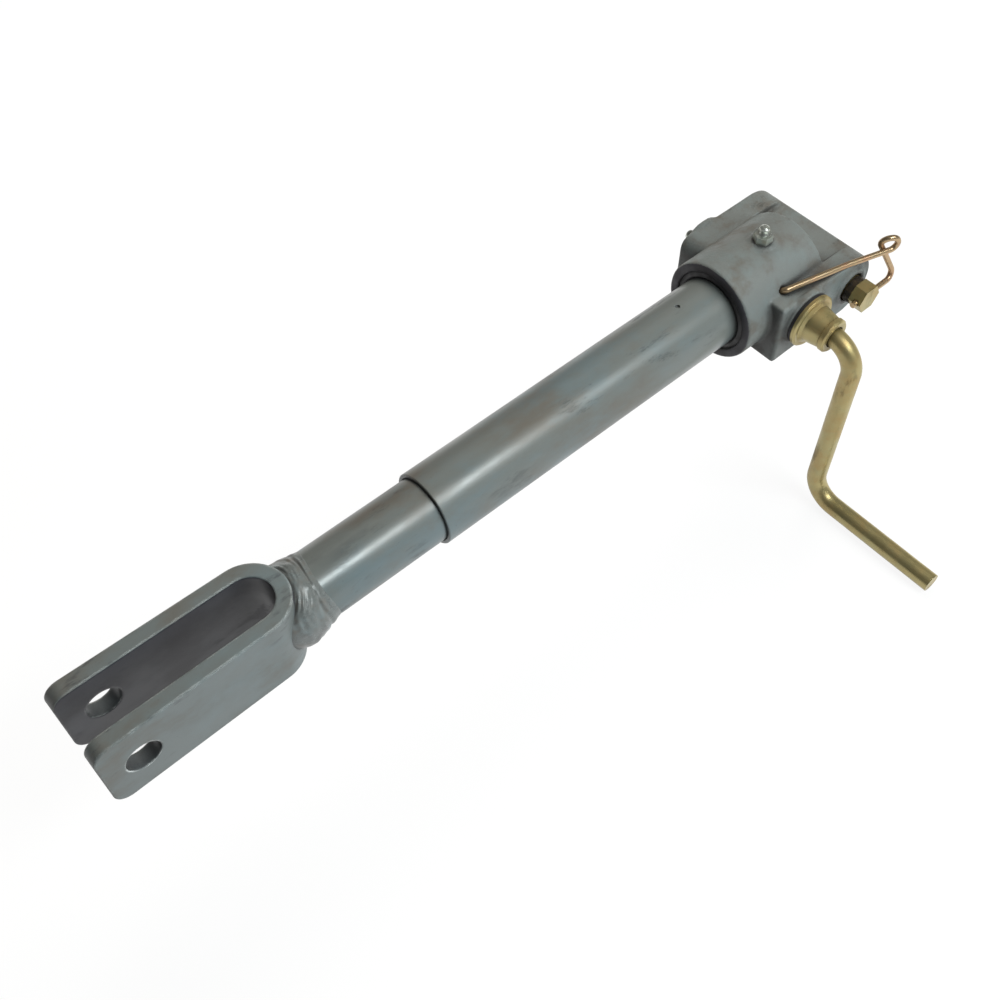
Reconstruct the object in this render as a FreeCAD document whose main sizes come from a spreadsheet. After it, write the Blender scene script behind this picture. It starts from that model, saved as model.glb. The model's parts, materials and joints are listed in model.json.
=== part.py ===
import FreeCAD, Part
import Sketcher
import math
import os

# Levelling box for a tractor's three-point lift
# +X runs up the rod from the lower fork to the gear housing, +Z is up,
# the crank points to -Y, and the origin is the middle of the upper pin.
# Lengths are millimetres.

doc = FreeCAD.newDocument("LevellingBox")
sheet = doc.addObject("Spreadsheet::Sheet", "Sizes")
pieces = []

# Driving sizes
sizes = {
    # Upper yoke and its pin
    "pinRadius": 9.525,
    "pinClearance": 0.125,
    "nearSide": 40,
    "farSide": 44.5,
    "blockHalfHeight": 22.2,
    "blockReach": 67.1,
    "noseBack": 3.5,
    "yokeSlotHalf": 19,
    "yokeSlotRadius": 14.8,
    "yokeSlotBack": 1.5,
    "yokeMouthTop": 9,
    "recessFloor": 17.8,
    "recessNear": 27,
    "recessFar": 28.2,
    "pinPadRadius": 13,
    "pinPadHeight": 1.6,
    "castingRound": 1.8,

    # Gear barrel
    "rodAxisUp": 6,
    "barrelRadius": 32.5,
    "barrelEnd": 18.5,
    "rimFace": 86.5,
    "rimRound": 2,
    "glandWall": 2.375,
    "sealRoom": 4.075,
    "sealBoreDepth": 2.5,
    "sealLip": 0.5,
    "sealLipWidth": 1.2,
    "sealClearance": 0.1,
    "cavityStep": 1,
    "cavityEnd": 30.3,

    # Crank line
    "crankBack": 45.8,
    "nearBossRadius": 18.2,
    "nearBossHeight": 3,
    "farBossRadius": 17.8,
    "farBossHeight": 1.5,
    "carrierRadius": 14.4,
    "bushRadius": 10.5,
    "shaftRadius": 8,
    "spigotRadius": 6,
    "runningClearance": 0.05,
    "farBushRadius": 9.5,
    "farBoreEnd": 38,
    "shaftFarEnd": 37,
    "shaftCollarDepth": 11,
    "carrierGap": 1.2,
    "washerThickness": 1,
    "washerNarrower": 2.8,
    "washerBoreGap": 0.3,
    "farBushLength": 13,
    "clipGrooveDepth": 0.8,
    "clipGrooveWidth": 1.2,
    "clipGrooveInset": 0.6,
    "shaftClipReach": 2.6,
    "sealNarrower": 0.6,
    "sealBoreGap": 0.4,
    "seatGap": 0.02,
    "shaftPinRadius": 1,
    "screwPinRadius": 1.1,
    "pinionHubRadius": 9.6,
    "wheelHubRadius": 14,

    # Bevel gears
    "gearModule": 2.25,
    "pinionTeeth": 11,
    "wheelTeeth": 16,
    "gearFace": 6.5,
    "gearBacklash": 0.42,
    "pressureAngle": 22.5,
    "toothRelief": 0.16,
    "hubLength": 3,

    # Thrust bearing and gland
    "raceThickness": 2,
    "raceRadius": 18.5,
    "ballRadius": 2,
    "ballPitchRadius": 14.4,
    "ballCount": 16,
    "ballClearance": 0.02,
    "raceClearance": 0.4,
    "cageHalfWidth": 3.2,
    "cageThickness": 1.4,
    "cagePocket": 0.1,
    "plateThickness": 4.5,
    "journalRadius": 10,
    "screwBushRadius": 12.5,

    # Tubes, screw and nut
    "outerTubeRadius": 22.225,
    "outerTubeWall": 2.475,
    "outerTubeEnd": 308.5,
    "tubeChamfer": 0.5,
    "dimplePlane": 115,
    "dimpleRadius": 1.6,
    "dimpleDepth": 1.2,
    "slideClearance": 0.1,
    "innerTubeWall": 4,
    "innerTubeTop": 163.5,
    "nutWall": 4.55,
    "screwEnd": 288.5,
    "screwTopGap": 1,
    "screwChamfer": 2,
    "screwClearance": 0.1,
    "nutLength": 40,
    "nutHead": 4,
    "nutPinRadius": 2.5,
    "nutHeadGap": 0.2,
    "nutPinGap": 0.1,
    "nutPinStart": 0.3,

    # Lower fork
    "forkEnd": 518.2,
    "forkHole": 496.8,
    "forkHoleRadius": 9.65,
    "forkBendBack": 416.8,
    "forkGapHalf": 13.2,
    "forkBar": 8.6,
    "forkHalfHeight": 25.4,
    "forkOuterSplay": 1.7,
    "forkInnerSplay": 0.6,
    "forkEdgeRound": 0.9,
    "forkCorner": 9,
    "weldStart": 8,
    "weldCrownEnd": 20,
    "weldToe": 31,
    "weldEnd": 35,
    "weldCrown": 4,
    "weldToeHeight": 1.3,

    # Crank handle
    "rodRadius": 6.35,
    "flangeRadius": 17.4,
    "flangeStart": 45.1,
    "flangeThickness": 3,
    "flangeBevel": 1,
    "flangeFillet": 1.5,
    "collarFoot": 1.8,
    "collarEnd": 64.5,
    "collarLip": 0.7,
    "collarLipWidth": 3.8,
    "collarMouth": 0.8,
    "armPlane": 82.1,
    "armDrop": 136.2,
    "gripEnd": 182.2,
    "bendRadius": 19,

    # Wire clip
    "wireRadius": 1.9,
    "wireClearance": 0.3,
    "clipHoleOut": 51.8,
    "clipTop": 24.6,
    "eyeRadius": 4.7,
    "eyeDrift": 5,
    "tipAlong": 54.6,
    "tipStand": 2.8487,
    "tipLength": 4,
    "tipBend": 2.2,
    "kneeAlong": 10,
    "kneeOut": 39.9,
    "kneeBend": 150,
    "eyeStartAlong": 16.6,
    "eyeStartOut": 47.9,
    "eyeRise": 5,
    "legReach": 28.6,
    "legBend": 5,
    "legEndBack": 12,

    # Hexagon end of the upper pin, and the grease nipples
    "hexAcross": 16.5,
    "hexStart": 46.5,
    "hexEnd": 55.5,
    "pinNeckRadius": 8.4,
    "pinHeadRadius": 12,
    "pinHeadLength": 4,
    "nipplePadRadius": 8,
    "nipplePadHeight": 0.35,
    "nippleShank": 2.95,
    "nippleHole": 3,
    "nippleDepth": 5.5,
    "nippleAcross": 10.5,
    "nippleHexHeight": 5,
    "nippleNose": 5.3,
    "nippleBall": 3.2,
}

for row, name in enumerate(sizes, 1):
    sheet.set("A%d" % row, name)
    sheet.set("B%d" % row, str(sizes[name]))
    sheet.setAlias("B%d" % row, name)
doc.recompute()

rodX = FreeCAD.Vector(1, 0, 0)
sideY = FreeCAD.Vector(0, 1, 0)
upZ = FreeCAD.Vector(0, 0, 1)


def at(name):
    return sizes[name]


def planeOf(body, role):
    for feature in body.Origin.OriginFeatures:
        if feature.Role == role:
            return feature


def sketchOn(body, name, role):
    sketch = body.newObject("Sketcher::SketchObject", name)
    sketch.AttachmentSupport = [(planeOf(body, role), "")]
    sketch.MapMode = "FlatFace"
    return sketch


def fixPoint(sketch, geo, spot, across, up):
    # ties one sketch point to two expressions
    now = sketch.getPoint(geo, spot)
    spotX = sketch.addConstraint(Sketcher.Constraint("DistanceX", -1, 1, geo, spot, now.x))
    sketch.setExpression("Constraints[%d]" % spotX, across)
    spotY = sketch.addConstraint(Sketcher.Constraint("DistanceY", -1, 1, geo, spot, now.y))
    sketch.setExpression("Constraints[%d]" % spotY, up)


def fixRadius(sketch, geo, radius):
    held = sketch.addConstraint(Sketcher.Constraint("Radius", geo, sketch.Geometry[geo].Radius))
    sketch.setExpression("Constraints[%d]" % held, radius)


def outline(sketch, points):
    # closed polygon whose corners follow the sheet, drawn first as a rough ring
    count = len(points)
    rough = at("barrelRadius")
    ring = []
    for number in range(count):
        angle = 2 * math.pi * number / count
        ring.append(FreeCAD.Vector(rough * math.cos(angle), rough * math.sin(angle), 0))
    for number in range(count):
        sketch.addGeometry(Part.LineSegment(ring[number], ring[(number + 1) % count]))
    for number in range(count):
        follow = (number + 1) % count
        sketch.addConstraint(Sketcher.Constraint("Coincident", number, 2, follow, 1))
    for number in range(count):
        fixPoint(sketch, number, 1, points[number][0], points[number][1])


def circleAt(sketch, across, up, radius):
    geo = sketch.addGeometry(Part.Circle(FreeCAD.Vector(1, 1, 0), upZ, at("pinRadius")))
    fixPoint(sketch, geo, 3, across, up)
    fixRadius(sketch, geo, radius)


def newBody(label, x, y, z):
    body = doc.addObject("PartDesign::Body", label)
    body.Label = label
    body.setExpression("Placement.Base.x", x)
    body.setExpression("Placement.Base.y", y)
    body.setExpression("Placement.Base.z", z)
    return body


def turned(label, axis, points, x, y, z):
    # revolved piece: points are (along the axis, out from it)
    body = newBody(label, x, y, z)
    if axis == "Z":
        sketch = sketchOn(body, label + "Profile", "XZ_Plane")
    else:
        sketch = sketchOn(body, label + "Profile", "XY_Plane")
    if axis == "X":
        outline(sketch, points)
    else:
        outline(sketch, [(out, along) for along, out in points])
    spin = body.newObject("PartDesign::Revolution", label + "Turn")
    spin.Profile = sketch
    spin.ReferenceAxis = (sketch, ["H_Axis" if axis == "X" else "V_Axis"])
    spin.Angle = 360
    return body


def onRod(label, points):
    return turned(label, "X", points, "0", "0", "Sizes.rodAxisUp")


def onCrank(label, points):
    return turned(label, "Y", points, "-Sizes.crankBack", "0", "Sizes.rodAxisUp")


def keep(label, thing):
    thing.Label = label
    pieces.append(thing)
    return thing


def drilled(body, name, role, across, up, radius):
    # round hole right through a body, both ways from the sketch
    sketch = sketchOn(body, name + "Sketch", role)
    circleAt(sketch, across, up, radius)
    hole = body.newObject("PartDesign::Pocket", name)
    hole.Profile = sketch
    hole.Type = "ThroughAll"
    hole.Midplane = True
    return hole


def cylinder(name, along, radius, length, x, y, z):
    rod = doc.addObject("Part::Cylinder", name)
    rod.setExpression("Radius", radius)
    rod.setExpression("Height", length)
    if along == "X":
        rod.Placement.Rotation = FreeCAD.Rotation(sideY, 90)
    if along == "Y":
        rod.Placement.Rotation = FreeCAD.Rotation(rodX, -90)
    rod.setExpression("Placement.Base.x", x)
    rod.setExpression("Placement.Base.y", y)
    rod.setExpression("Placement.Base.z", z)
    return rod


def block(name, length, width, height, x, y, z):
    box = doc.addObject("Part::Box", name)
    box.setExpression("Length", length)
    box.setExpression("Width", width)
    box.setExpression("Height", height)
    box.setExpression("Placement.Base.x", x)
    box.setExpression("Placement.Base.y", y)
    box.setExpression("Placement.Base.z", z)
    return box


def joined(name, shapes):
    whole = doc.addObject("Part::MultiFuse", name)
    whole.Shapes = shapes
    return whole


def common(name, shapes):
    shared = doc.addObject("Part::MultiCommon", name)
    shared.Shapes = shapes
    return shared


def cut(name, base, tool):
    left = doc.addObject("Part::Cut", name)
    left.Base = base
    left.Tool = tool
    return left


def edgesWhere(feature, test):
    found = []
    for number, edge in enumerate(feature.Shape.Edges):
        box = edge.BoundBox
        if test(edge, box):
            found.append("Edge%d" % (number + 1))
    return found


# Positions that several pieces share, measured down the rod from the pin
pinionPitch = "(Sizes.gearModule * Sizes.pinionTeeth / 2)"
wheelPitch = "(Sizes.gearModule * Sizes.wheelTeeth / 2)"
wheelBack = "(Sizes.crankBack + " + pinionPitch + ")"
hubEnd = "(" + wheelBack + " + Sizes.hubLength)"
raceOneEnd = "(" + hubEnd + " + Sizes.raceThickness)"
ballSpan = "(2 * Sizes.ballRadius + 2 * Sizes.ballClearance)"
raceTwoStart = "(" + raceOneEnd + " + " + ballSpan + ")"
raceTwoEnd = "(" + raceTwoStart + " + Sizes.raceThickness)"
plateEnd = "(" + raceTwoEnd + " + Sizes.plateThickness)"
glandEnd = "(Sizes.rimFace - Sizes.sealBoreDepth)"
pinBore = "(Sizes.pinRadius + Sizes.pinClearance)"
outerTubeBore = "(Sizes.outerTubeRadius - Sizes.outerTubeWall)"
frontBoreRadius = "(Sizes.outerTubeRadius + Sizes.glandWall)"
sealBoreRadius = "(Sizes.outerTubeRadius + Sizes.sealRoom)"
cavityRadius = "(" + frontBoreRadius + " - Sizes.cavityStep)"
innerTubeRadius = "(" + outerTubeBore + " - Sizes.slideClearance)"
innerTubeBore = "(" + innerTubeRadius + " - Sizes.innerTubeWall)"
nutBore = "(" + innerTubeBore + " - Sizes.nutWall)"
screwRadius = "(" + nutBore + " - Sizes.screwClearance)"
nearFace = "(Sizes.nearSide + Sizes.nearBossHeight)"
farFace = "(Sizes.farSide + Sizes.farBossHeight)"
forkOuter = "(Sizes.forkGapHalf + Sizes.forkBar)"
nutTop = "(Sizes.innerTubeTop - Sizes.nutHead)"

# Gear housing: yoke block with a rounded nose
yoke = newBody("yokeBlock", "0", "(Sizes.farSide - Sizes.nearSide) / 2", "0")
yokeSketch = sketchOn(yoke, "yokeSide", "XZ_Plane")
noseX = -at("noseBack")
backX = -at("blockReach")
highZ = at("blockHalfHeight")
yokeSketch.addGeometry(Part.LineSegment(FreeCAD.Vector(noseX, -highZ, 0),
                                        FreeCAD.Vector(backX, -highZ, 0)))
yokeSketch.addGeometry(Part.LineSegment(FreeCAD.Vector(backX, -highZ, 0),
                                        FreeCAD.Vector(backX, highZ, 0)))
yokeSketch.addGeometry(Part.LineSegment(FreeCAD.Vector(backX, highZ, 0),
                                        FreeCAD.Vector(noseX, highZ, 0)))
noseCircle = Part.Circle(FreeCAD.Vector(noseX, 0, 0), FreeCAD.Vector(0, 0, 1), highZ)
yokeSketch.addGeometry(Part.ArcOfCircle(noseCircle, -math.pi / 2, math.pi / 2))
yokeSketch.addConstraint(Sketcher.Constraint("Coincident", 0, 2, 1, 1))
yokeSketch.addConstraint(Sketcher.Constraint("Coincident", 1, 2, 2, 1))
yokeSketch.addConstraint(Sketcher.Constraint("Coincident", 2, 2, 3, 2))
yokeSketch.addConstraint(Sketcher.Constraint("Coincident", 3, 1, 0, 1))
fixPoint(yokeSketch, 1, 1, "-Sizes.blockReach", "-Sizes.blockHalfHeight")
fixPoint(yokeSketch, 1, 2, "-Sizes.blockReach", "Sizes.blockHalfHeight")
fixPoint(yokeSketch, 2, 2, "-Sizes.noseBack", "Sizes.blockHalfHeight")
fixPoint(yokeSketch, 0, 1, "-Sizes.noseBack", "-Sizes.blockHalfHeight")
noseMiddle = yokeSketch.addConstraint(Sketcher.Constraint("DistanceX", -1, 1, 3, 3, noseX))
yokeSketch.setExpression("Constraints[%d]" % noseMiddle, "-Sizes.noseBack")
yokePad = yoke.newObject("PartDesign::Pad", "yokePad")
yokePad.Profile = yokeSketch
yokePad.Midplane = True
yokePad.setExpression("Length", "Sizes.nearSide + Sizes.farSide")
yokeRound = yoke.newObject("PartDesign::Fillet", "yokeRound")
yokeRound.Base = yokePad
yokeRound.UseAllEdges = True
yokeRound.setExpression("Radius", "Sizes.castingRound")

# Gear housing: barrel with its rounded front edge, bosses and nipple pad
barrel = onRod("barrel", [
    ("-Sizes.rimFace", "0"),
    ("-Sizes.rimFace", "Sizes.barrelRadius"),
    ("-Sizes.barrelEnd", "Sizes.barrelRadius"),
    ("-Sizes.barrelEnd", "0")])
doc.recompute()
barrelTurn = barrel.Tip
frontEdges = edgesWhere(barrelTurn, lambda edge, box: box.XMax < 0.01 - at("rimFace"))
rimRound = barrel.newObject("PartDesign::Fillet", "rimRound")
rimRound.Base = (barrelTurn, frontEdges)
rimRound.setExpression("Radius", "Sizes.rimRound")
nearBoss = cylinder("nearBoss", "Y", "Sizes.nearBossRadius",
                    "Sizes.nearBossHeight + Sizes.castingRound",
                    "-Sizes.crankBack", "-" + nearFace, "Sizes.rodAxisUp")
farBoss = cylinder("farBoss", "Y", "Sizes.farBossRadius",
                   "Sizes.farBossHeight + Sizes.castingRound",
                   "-Sizes.crankBack", "Sizes.farSide - Sizes.castingRound", "Sizes.rodAxisUp")
padSpan = "(Sizes.nearSide + Sizes.farSide + 2 * Sizes.pinPadHeight)"
pinPads = cylinder("pinPads", "Y", "Sizes.pinPadRadius", padSpan,
                   "0", "-Sizes.nearSide - Sizes.pinPadHeight", "0")
nipplePad = cylinder("nipplePad", "Z", "Sizes.nipplePadRadius",
                     "Sizes.barrelRadius + Sizes.nipplePadHeight",
                     "-Sizes.crankBack", "0", "Sizes.rodAxisUp")
casting = joined("casting", [yoke, barrel, nearBoss, farBoss, pinPads, nipplePad])

# Gear housing: what is cut out of the casting
frontBore = cylinder("frontBore", "X", frontBoreRadius, "Sizes.rimFace - " + raceTwoEnd,
                     "-Sizes.rimFace", "0", "Sizes.rodAxisUp")
sealBore = cylinder("sealBore", "X", sealBoreRadius, "Sizes.sealBoreDepth",
                    "-Sizes.rimFace", "0", "Sizes.rodAxisUp")
cavity = cylinder("cavity", "X", cavityRadius, "Sizes.rimFace - Sizes.cavityEnd",
                  "-Sizes.rimFace", "0", "Sizes.rodAxisUp")
nearBore = cylinder("nearBore", "Y", "Sizes.carrierRadius", nearFace,
                    "-Sizes.crankBack", "-" + nearFace, "Sizes.rodAxisUp")
farBore = cylinder("farBore", "Y", "Sizes.farBushRadius", "Sizes.farBoreEnd",
                   "-Sizes.crankBack", "0", "Sizes.rodAxisUp")
sideNippleHole = cylinder("sideNippleHole", "Y", "Sizes.nippleHole", farFace,
                          "-Sizes.crankBack", "0", "Sizes.rodAxisUp")
topNippleHole = cylinder("topNippleHole", "Z", "Sizes.nippleHole",
                         "Sizes.barrelRadius + Sizes.nipplePadHeight",
                         "-Sizes.crankBack", "0", "Sizes.rodAxisUp")
crossBore = cylinder("crossBore", "Y", pinBore, padSpan,
                     "0", "-Sizes.nearSide - Sizes.pinPadHeight", "0")
slotRound = cylinder("slotRound", "Y", "Sizes.yokeSlotRadius", "2 * Sizes.yokeSlotHalf",
                     "-Sizes.yokeSlotBack", "-Sizes.yokeSlotHalf", "0")
slotBelow = block("slotBelow", "Sizes.blockReach", "2 * Sizes.yokeSlotHalf",
                  "Sizes.blockReach", "-Sizes.yokeSlotBack - Sizes.yokeSlotRadius",
                  "-Sizes.yokeSlotHalf", "-Sizes.blockReach")
slotFront = block("slotFront", "Sizes.blockReach", "2 * Sizes.yokeSlotHalf",
                  "Sizes.blockReach + Sizes.yokeMouthTop", "-Sizes.yokeSlotBack",
                  "-Sizes.yokeSlotHalf", "-Sizes.blockReach")
recess = block("recess", "Sizes.blockReach", "Sizes.recessNear + Sizes.recessFar",
               "Sizes.blockHalfHeight", "-Sizes.barrelEnd", "-Sizes.recessNear",
               "Sizes.recessFloor")
# the clip's tip leaves its hole along the arc that the clip swings through
clipHinge = FreeCAD.Vector(-at("tipAlong"), -at("clipHoleOut"), 0)
tipOut = math.sqrt(at("barrelRadius") ** 2 - (at("clipTop") - at("rodAxisUp")) ** 2) + at("tipStand")
tipCorner = FreeCAD.Vector(-at("tipAlong"), -tipOut, at("clipTop"))
tipOutward = rodX.cross(tipCorner - clipHinge).normalize()
tipDepth = at("tipLength") + 2 * at("wireClearance")
tipHole = doc.addObject("Part::Cylinder", "tipHole")
tipHole.setExpression("Radius", "Sizes.wireRadius + 2 * Sizes.wireClearance")
tipHole.setExpression("Height", "Sizes.tipLength + 2 * Sizes.wireClearance")
tipHole.Placement = FreeCAD.Placement(tipCorner - tipOutward * tipDepth,
                                      FreeCAD.Rotation(upZ, tipOutward))
hollows = joined("hollows", [frontBore, sealBore, cavity, nearBore, farBore, sideNippleHole,
                             topNippleHole, crossBore, slotRound, slotBelow, slotFront, recess,
                             tipHole])
keep("gear_housing", cut("gearHousing", casting, hollows))

# Outer tube with its punched dimple, gland ring and seal
tube = onRod("tubeBlank", [
    ("Sizes.tubeChamfer - Sizes.outerTubeEnd", outerTubeBore),
    ("-Sizes.outerTubeEnd", outerTubeBore + " + Sizes.tubeChamfer"),
    ("-Sizes.outerTubeEnd", "Sizes.outerTubeRadius - Sizes.tubeChamfer"),
    ("Sizes.tubeChamfer - Sizes.outerTubeEnd", "Sizes.outerTubeRadius"),
    ("-" + plateEnd, "Sizes.outerTubeRadius"),
    ("-" + plateEnd, outerTubeBore)])
dimple = cylinder("tubeDimple", "Z", "Sizes.dimpleRadius", "2 * Sizes.dimpleDepth",
                  "-Sizes.dimplePlane", "Sizes.dimpleRadius",
                  "Sizes.rodAxisUp + Sizes.outerTubeRadius - Sizes.dimpleDepth")
keep("outer_tube", cut("outerTube", tube, dimple))
keep("gland_ring", onRod("glandRing", [
    ("-" + glandEnd, "Sizes.outerTubeRadius + Sizes.seatGap"),
    ("-" + glandEnd, frontBoreRadius + " - Sizes.seatGap"),
    ("-" + plateEnd, frontBoreRadius + " - Sizes.seatGap"),
    ("-" + plateEnd, "Sizes.outerTubeRadius + Sizes.seatGap")]))
keep("tube_seal", onRod("tubeSeal", [
    ("-" + glandEnd, "Sizes.outerTubeRadius + Sizes.seatGap"),
    ("2 * Sizes.sealLip - Sizes.rimFace", "Sizes.outerTubeRadius + Sizes.seatGap"),
    ("Sizes.sealLip - Sizes.rimFace", "Sizes.outerTubeRadius + Sizes.sealLipWidth"),
    ("3 * Sizes.sealLip - Sizes.rimFace", sealBoreRadius + " - Sizes.sealClearance"),
    ("-" + glandEnd, sealBoreRadius + " - Sizes.sealClearance")]))

# Thrust plate, bush, races and balls
keep("thrust_plate", onRod("thrustPlate", [
    ("-" + plateEnd, "Sizes.screwBushRadius"),
    ("-" + plateEnd, frontBoreRadius + " - Sizes.seatGap"),
    ("-" + raceTwoEnd, frontBoreRadius + " - Sizes.seatGap"),
    ("-" + raceTwoEnd, "Sizes.screwBushRadius")]))
keep("screw_bush", onRod("screwBush", [
    ("-" + plateEnd, "Sizes.journalRadius + Sizes.runningClearance"),
    ("-" + plateEnd, "Sizes.screwBushRadius"),
    ("-" + raceTwoEnd, "Sizes.screwBushRadius"),
    ("-" + raceTwoEnd, "Sizes.journalRadius + Sizes.runningClearance")]))
keep("fixed_race", onRod("fixedRace", [
    ("-" + raceTwoEnd, "Sizes.journalRadius + Sizes.raceClearance"),
    ("-" + raceTwoEnd, "Sizes.raceRadius"),
    ("-" + raceTwoStart, "Sizes.raceRadius"),
    ("-" + raceTwoStart, "Sizes.journalRadius + Sizes.raceClearance")]))
keep("turning_race", onRod("turningRace", [
    ("-" + raceOneEnd, "Sizes.journalRadius"),
    ("-" + raceOneEnd, "Sizes.raceRadius"),
    ("-" + hubEnd, "Sizes.raceRadius"),
    ("-" + hubEnd, "Sizes.journalRadius")]))


pinionRadius = at("gearModule") * at("pinionTeeth") / 2
wheelRadius = at("gearModule") * at("wheelTeeth") / 2
ballPlane = -(at("crankBack") + pinionRadius + at("hubLength") + at("raceThickness")
              + at("ballRadius") + at("ballClearance"))
balls = []
for number in range(at("ballCount")):
    angle = 2 * math.pi * number / at("ballCount")
    middle = FreeCAD.Vector(ballPlane, at("ballPitchRadius") * math.cos(angle),
                            at("rodAxisUp") + at("ballPitchRadius") * math.sin(angle))
    balls.append(Part.makeSphere(at("ballRadius"), middle))
ballSet = doc.addObject("Part::Feature", "ballSet")
ballSet.Shape = Part.makeCompound(balls)
keep("thrust_balls", ballSet)
cageFoot = FreeCAD.Vector(ballPlane - at("cageThickness") / 2, 0, at("rodAxisUp"))
cageOuter = at("ballPitchRadius") + at("cageHalfWidth")
cageInner = at("ballPitchRadius") - at("cageHalfWidth")
cageShape = Part.makeCylinder(cageOuter, at("cageThickness"), cageFoot, rodX)
cageShape = cageShape.cut(Part.makeCylinder(cageInner, at("cageThickness"), cageFoot, rodX))
for ball in balls:
    pocketFoot = ball.CenterOfMass - rodX * at("cageThickness")
    pocket = Part.makeCylinder(at("ballRadius") + at("cagePocket"), 2 * at("cageThickness"),
                               pocketFoot, rodX)
    cageShape = cageShape.cut(pocket)
ballCage = doc.addObject("Part::Feature", "ballCage")
ballCage.Shape = cageShape
keep("ball_cage", ballCage)


def toothedCone(teeth, pitchRadius, otherRadius, hubRadius, boreRadius, axis, side):
    # bevel gear with teeth that run to the shared apex
    apex = FreeCAD.Vector(-at("crankBack"), 0, at("rodAxisUp"))
    coneAngle = math.atan2(pitchRadius, otherRadius)
    coneLength = math.hypot(pitchRadius, otherRadius)
    module = at("gearModule")
    pressure = math.radians(at("pressureAngle"))
    spurRadius = pitchRadius / math.cos(coneAngle)
    baseRadius = spurRadius * math.cos(pressure)
    pitchThickness = math.pi * module / 2 - at("gearBacklash")
    levels = []
    for share in (-1.12, -0.55, 0, 0.4, 0.8):
        height = share * module
        radius = spurRadius + height
        local = math.acos(min(1.0, baseRadius / radius))
        gain = math.tan(pressure) - pressure - math.tan(local) + local
        relief = at("toothRelief") * abs(share)
        thickness = radius * (pitchThickness / spurRadius + 2 * gain) - relief
        out = pitchRadius + height * math.cos(coneAngle)
        along = otherRadius - height * math.sin(coneAngle)
        levels.append((out * otherRadius / along, thickness / 2 / out))
    cross = axis.cross(side)
    corners = []
    for tooth in range(teeth):
        middle = 2 * math.pi * tooth / teeth
        for out, half in levels:
            corners.append((out, middle - half))
        for out, half in reversed(levels):
            corners.append((out, middle + half))
    big = []
    small = []
    ratio = (coneLength - at("gearFace")) / coneLength
    for out, angle in corners:
        ray = axis * otherRadius + (side * math.cos(angle) + cross * math.sin(angle)) * out
        big.append(apex + ray)
        small.append(apex + ray * ratio)
    wires = [Part.makePolygon(big + big[:1]), Part.makePolygon(small + small[:1])]
    teethSolid = Part.makeLoft(wires, True, True)
    hub = Part.makeCylinder(hubRadius, at("hubLength"), apex + axis * otherRadius, axis)
    hole = Part.makeCylinder(boreRadius, 2 * coneLength, apex, axis)
    return teethSolid.fuse(hub).cut(hole).removeSplitter()


# Bevel wheel on the screw, and the pinion on the crank shaft
wheelTurn = FreeCAD.Rotation(rodX, 180 / at("wheelTeeth"))
wheelSide = wheelTurn.multVec(-sideY)
wheelHub = at("wheelHubRadius")
wheelShape = toothedCone(at("wheelTeeth"), wheelRadius, pinionRadius, wheelHub, at("shaftRadius"),
                         -rodX, wheelSide)
wheelPinPlane = -(at("crankBack") + pinionRadius + 0.5 * at("hubLength"))
wheelPin = Part.makeCylinder(at("screwPinRadius"), 2 * wheelHub,
                             FreeCAD.Vector(wheelPinPlane, 0, at("rodAxisUp") - wheelHub), upZ)
wheelFeature = doc.addObject("Part::Feature", "bevelWheel")
wheelFeature.Shape = wheelShape.cut(wheelPin)
keep("bevel_wheel", wheelFeature)
wheelPinFeature = doc.addObject("Part::Feature", "wheelPin")
wheelPinFeature.Shape = wheelPin
keep("wheel_pin", wheelPinFeature)
pinionHub = at("pinionHubRadius")
pinionShape = toothedCone(at("pinionTeeth"), pinionRadius, wheelRadius, pinionHub,
                          at("spigotRadius"), -sideY, -rodX)
pinionPinPlane = -(wheelRadius + 0.5 * at("hubLength"))
pinionPinFoot = FreeCAD.Vector(-at("crankBack"), pinionPinPlane, at("rodAxisUp") - pinionHub)
pinionPin = Part.makeCylinder(at("shaftPinRadius"), 2 * pinionHub, pinionPinFoot, upZ)
pinionFeature = doc.addObject("Part::Feature", "bevelPinion")
pinionFeature.Shape = pinionShape.cut(pinionPin)
keep("bevel_pinion", pinionFeature)
pinionPinFeature = doc.addObject("Part::Feature", "pinionPin")
pinionPinFeature.Shape = pinionPin
keep("pinion_pin", pinionPinFeature)

# Levelling screw and its nut
screwTop = "-Sizes.crankBack - Sizes.spigotRadius - Sizes.screwTopGap"
screw = onRod("levellingScrew", [
    (screwTop, "0"),
    (screwTop, "Sizes.shaftRadius - 1"),
    (screwTop + " - 1", "Sizes.shaftRadius"),
    ("-" + hubEnd, "Sizes.shaftRadius"),
    ("-" + hubEnd, "Sizes.journalRadius"),
    ("-" + plateEnd + " - 1", "Sizes.journalRadius"),
    ("-" + plateEnd + " - 2", screwRadius),
    ("Sizes.screwChamfer - Sizes.screwEnd", screwRadius),
    ("-Sizes.screwEnd", screwRadius + " - Sizes.screwChamfer"),
    ("-Sizes.screwEnd", "0")])
drilled(screw, "screwPinHole", "XY_Plane", "-" + wheelBack + " - 0.5 * Sizes.hubLength", "0",
        "Sizes.screwPinRadius")
keep("levelling_screw", screw)
nut = onRod("screwNut", [
    ("-Sizes.innerTubeTop - Sizes.nutLength", nutBore),
    ("-Sizes.innerTubeTop - Sizes.nutLength", innerTubeBore),
    ("-Sizes.innerTubeTop", innerTubeBore),
    ("-Sizes.innerTubeTop", innerTubeRadius + " - Sizes.nutHeadGap"),
    ("-" + nutTop, innerTubeRadius + " - Sizes.nutHeadGap"),
    ("-" + nutTop, nutBore)])
drilled(nut, "nutPinHole", "XY_Plane", "-Sizes.innerTubeTop - 0.5 * Sizes.nutLength", "0",
        "Sizes.nutPinRadius")
keep("screw_nut", nut)
nutPinPlane = -(at("innerTubeTop") + 0.5 * at("nutLength"))
nutPinReach = at("outerTubeRadius") - at("outerTubeWall") - at("slideClearance") - at("nutPinGap")
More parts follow.
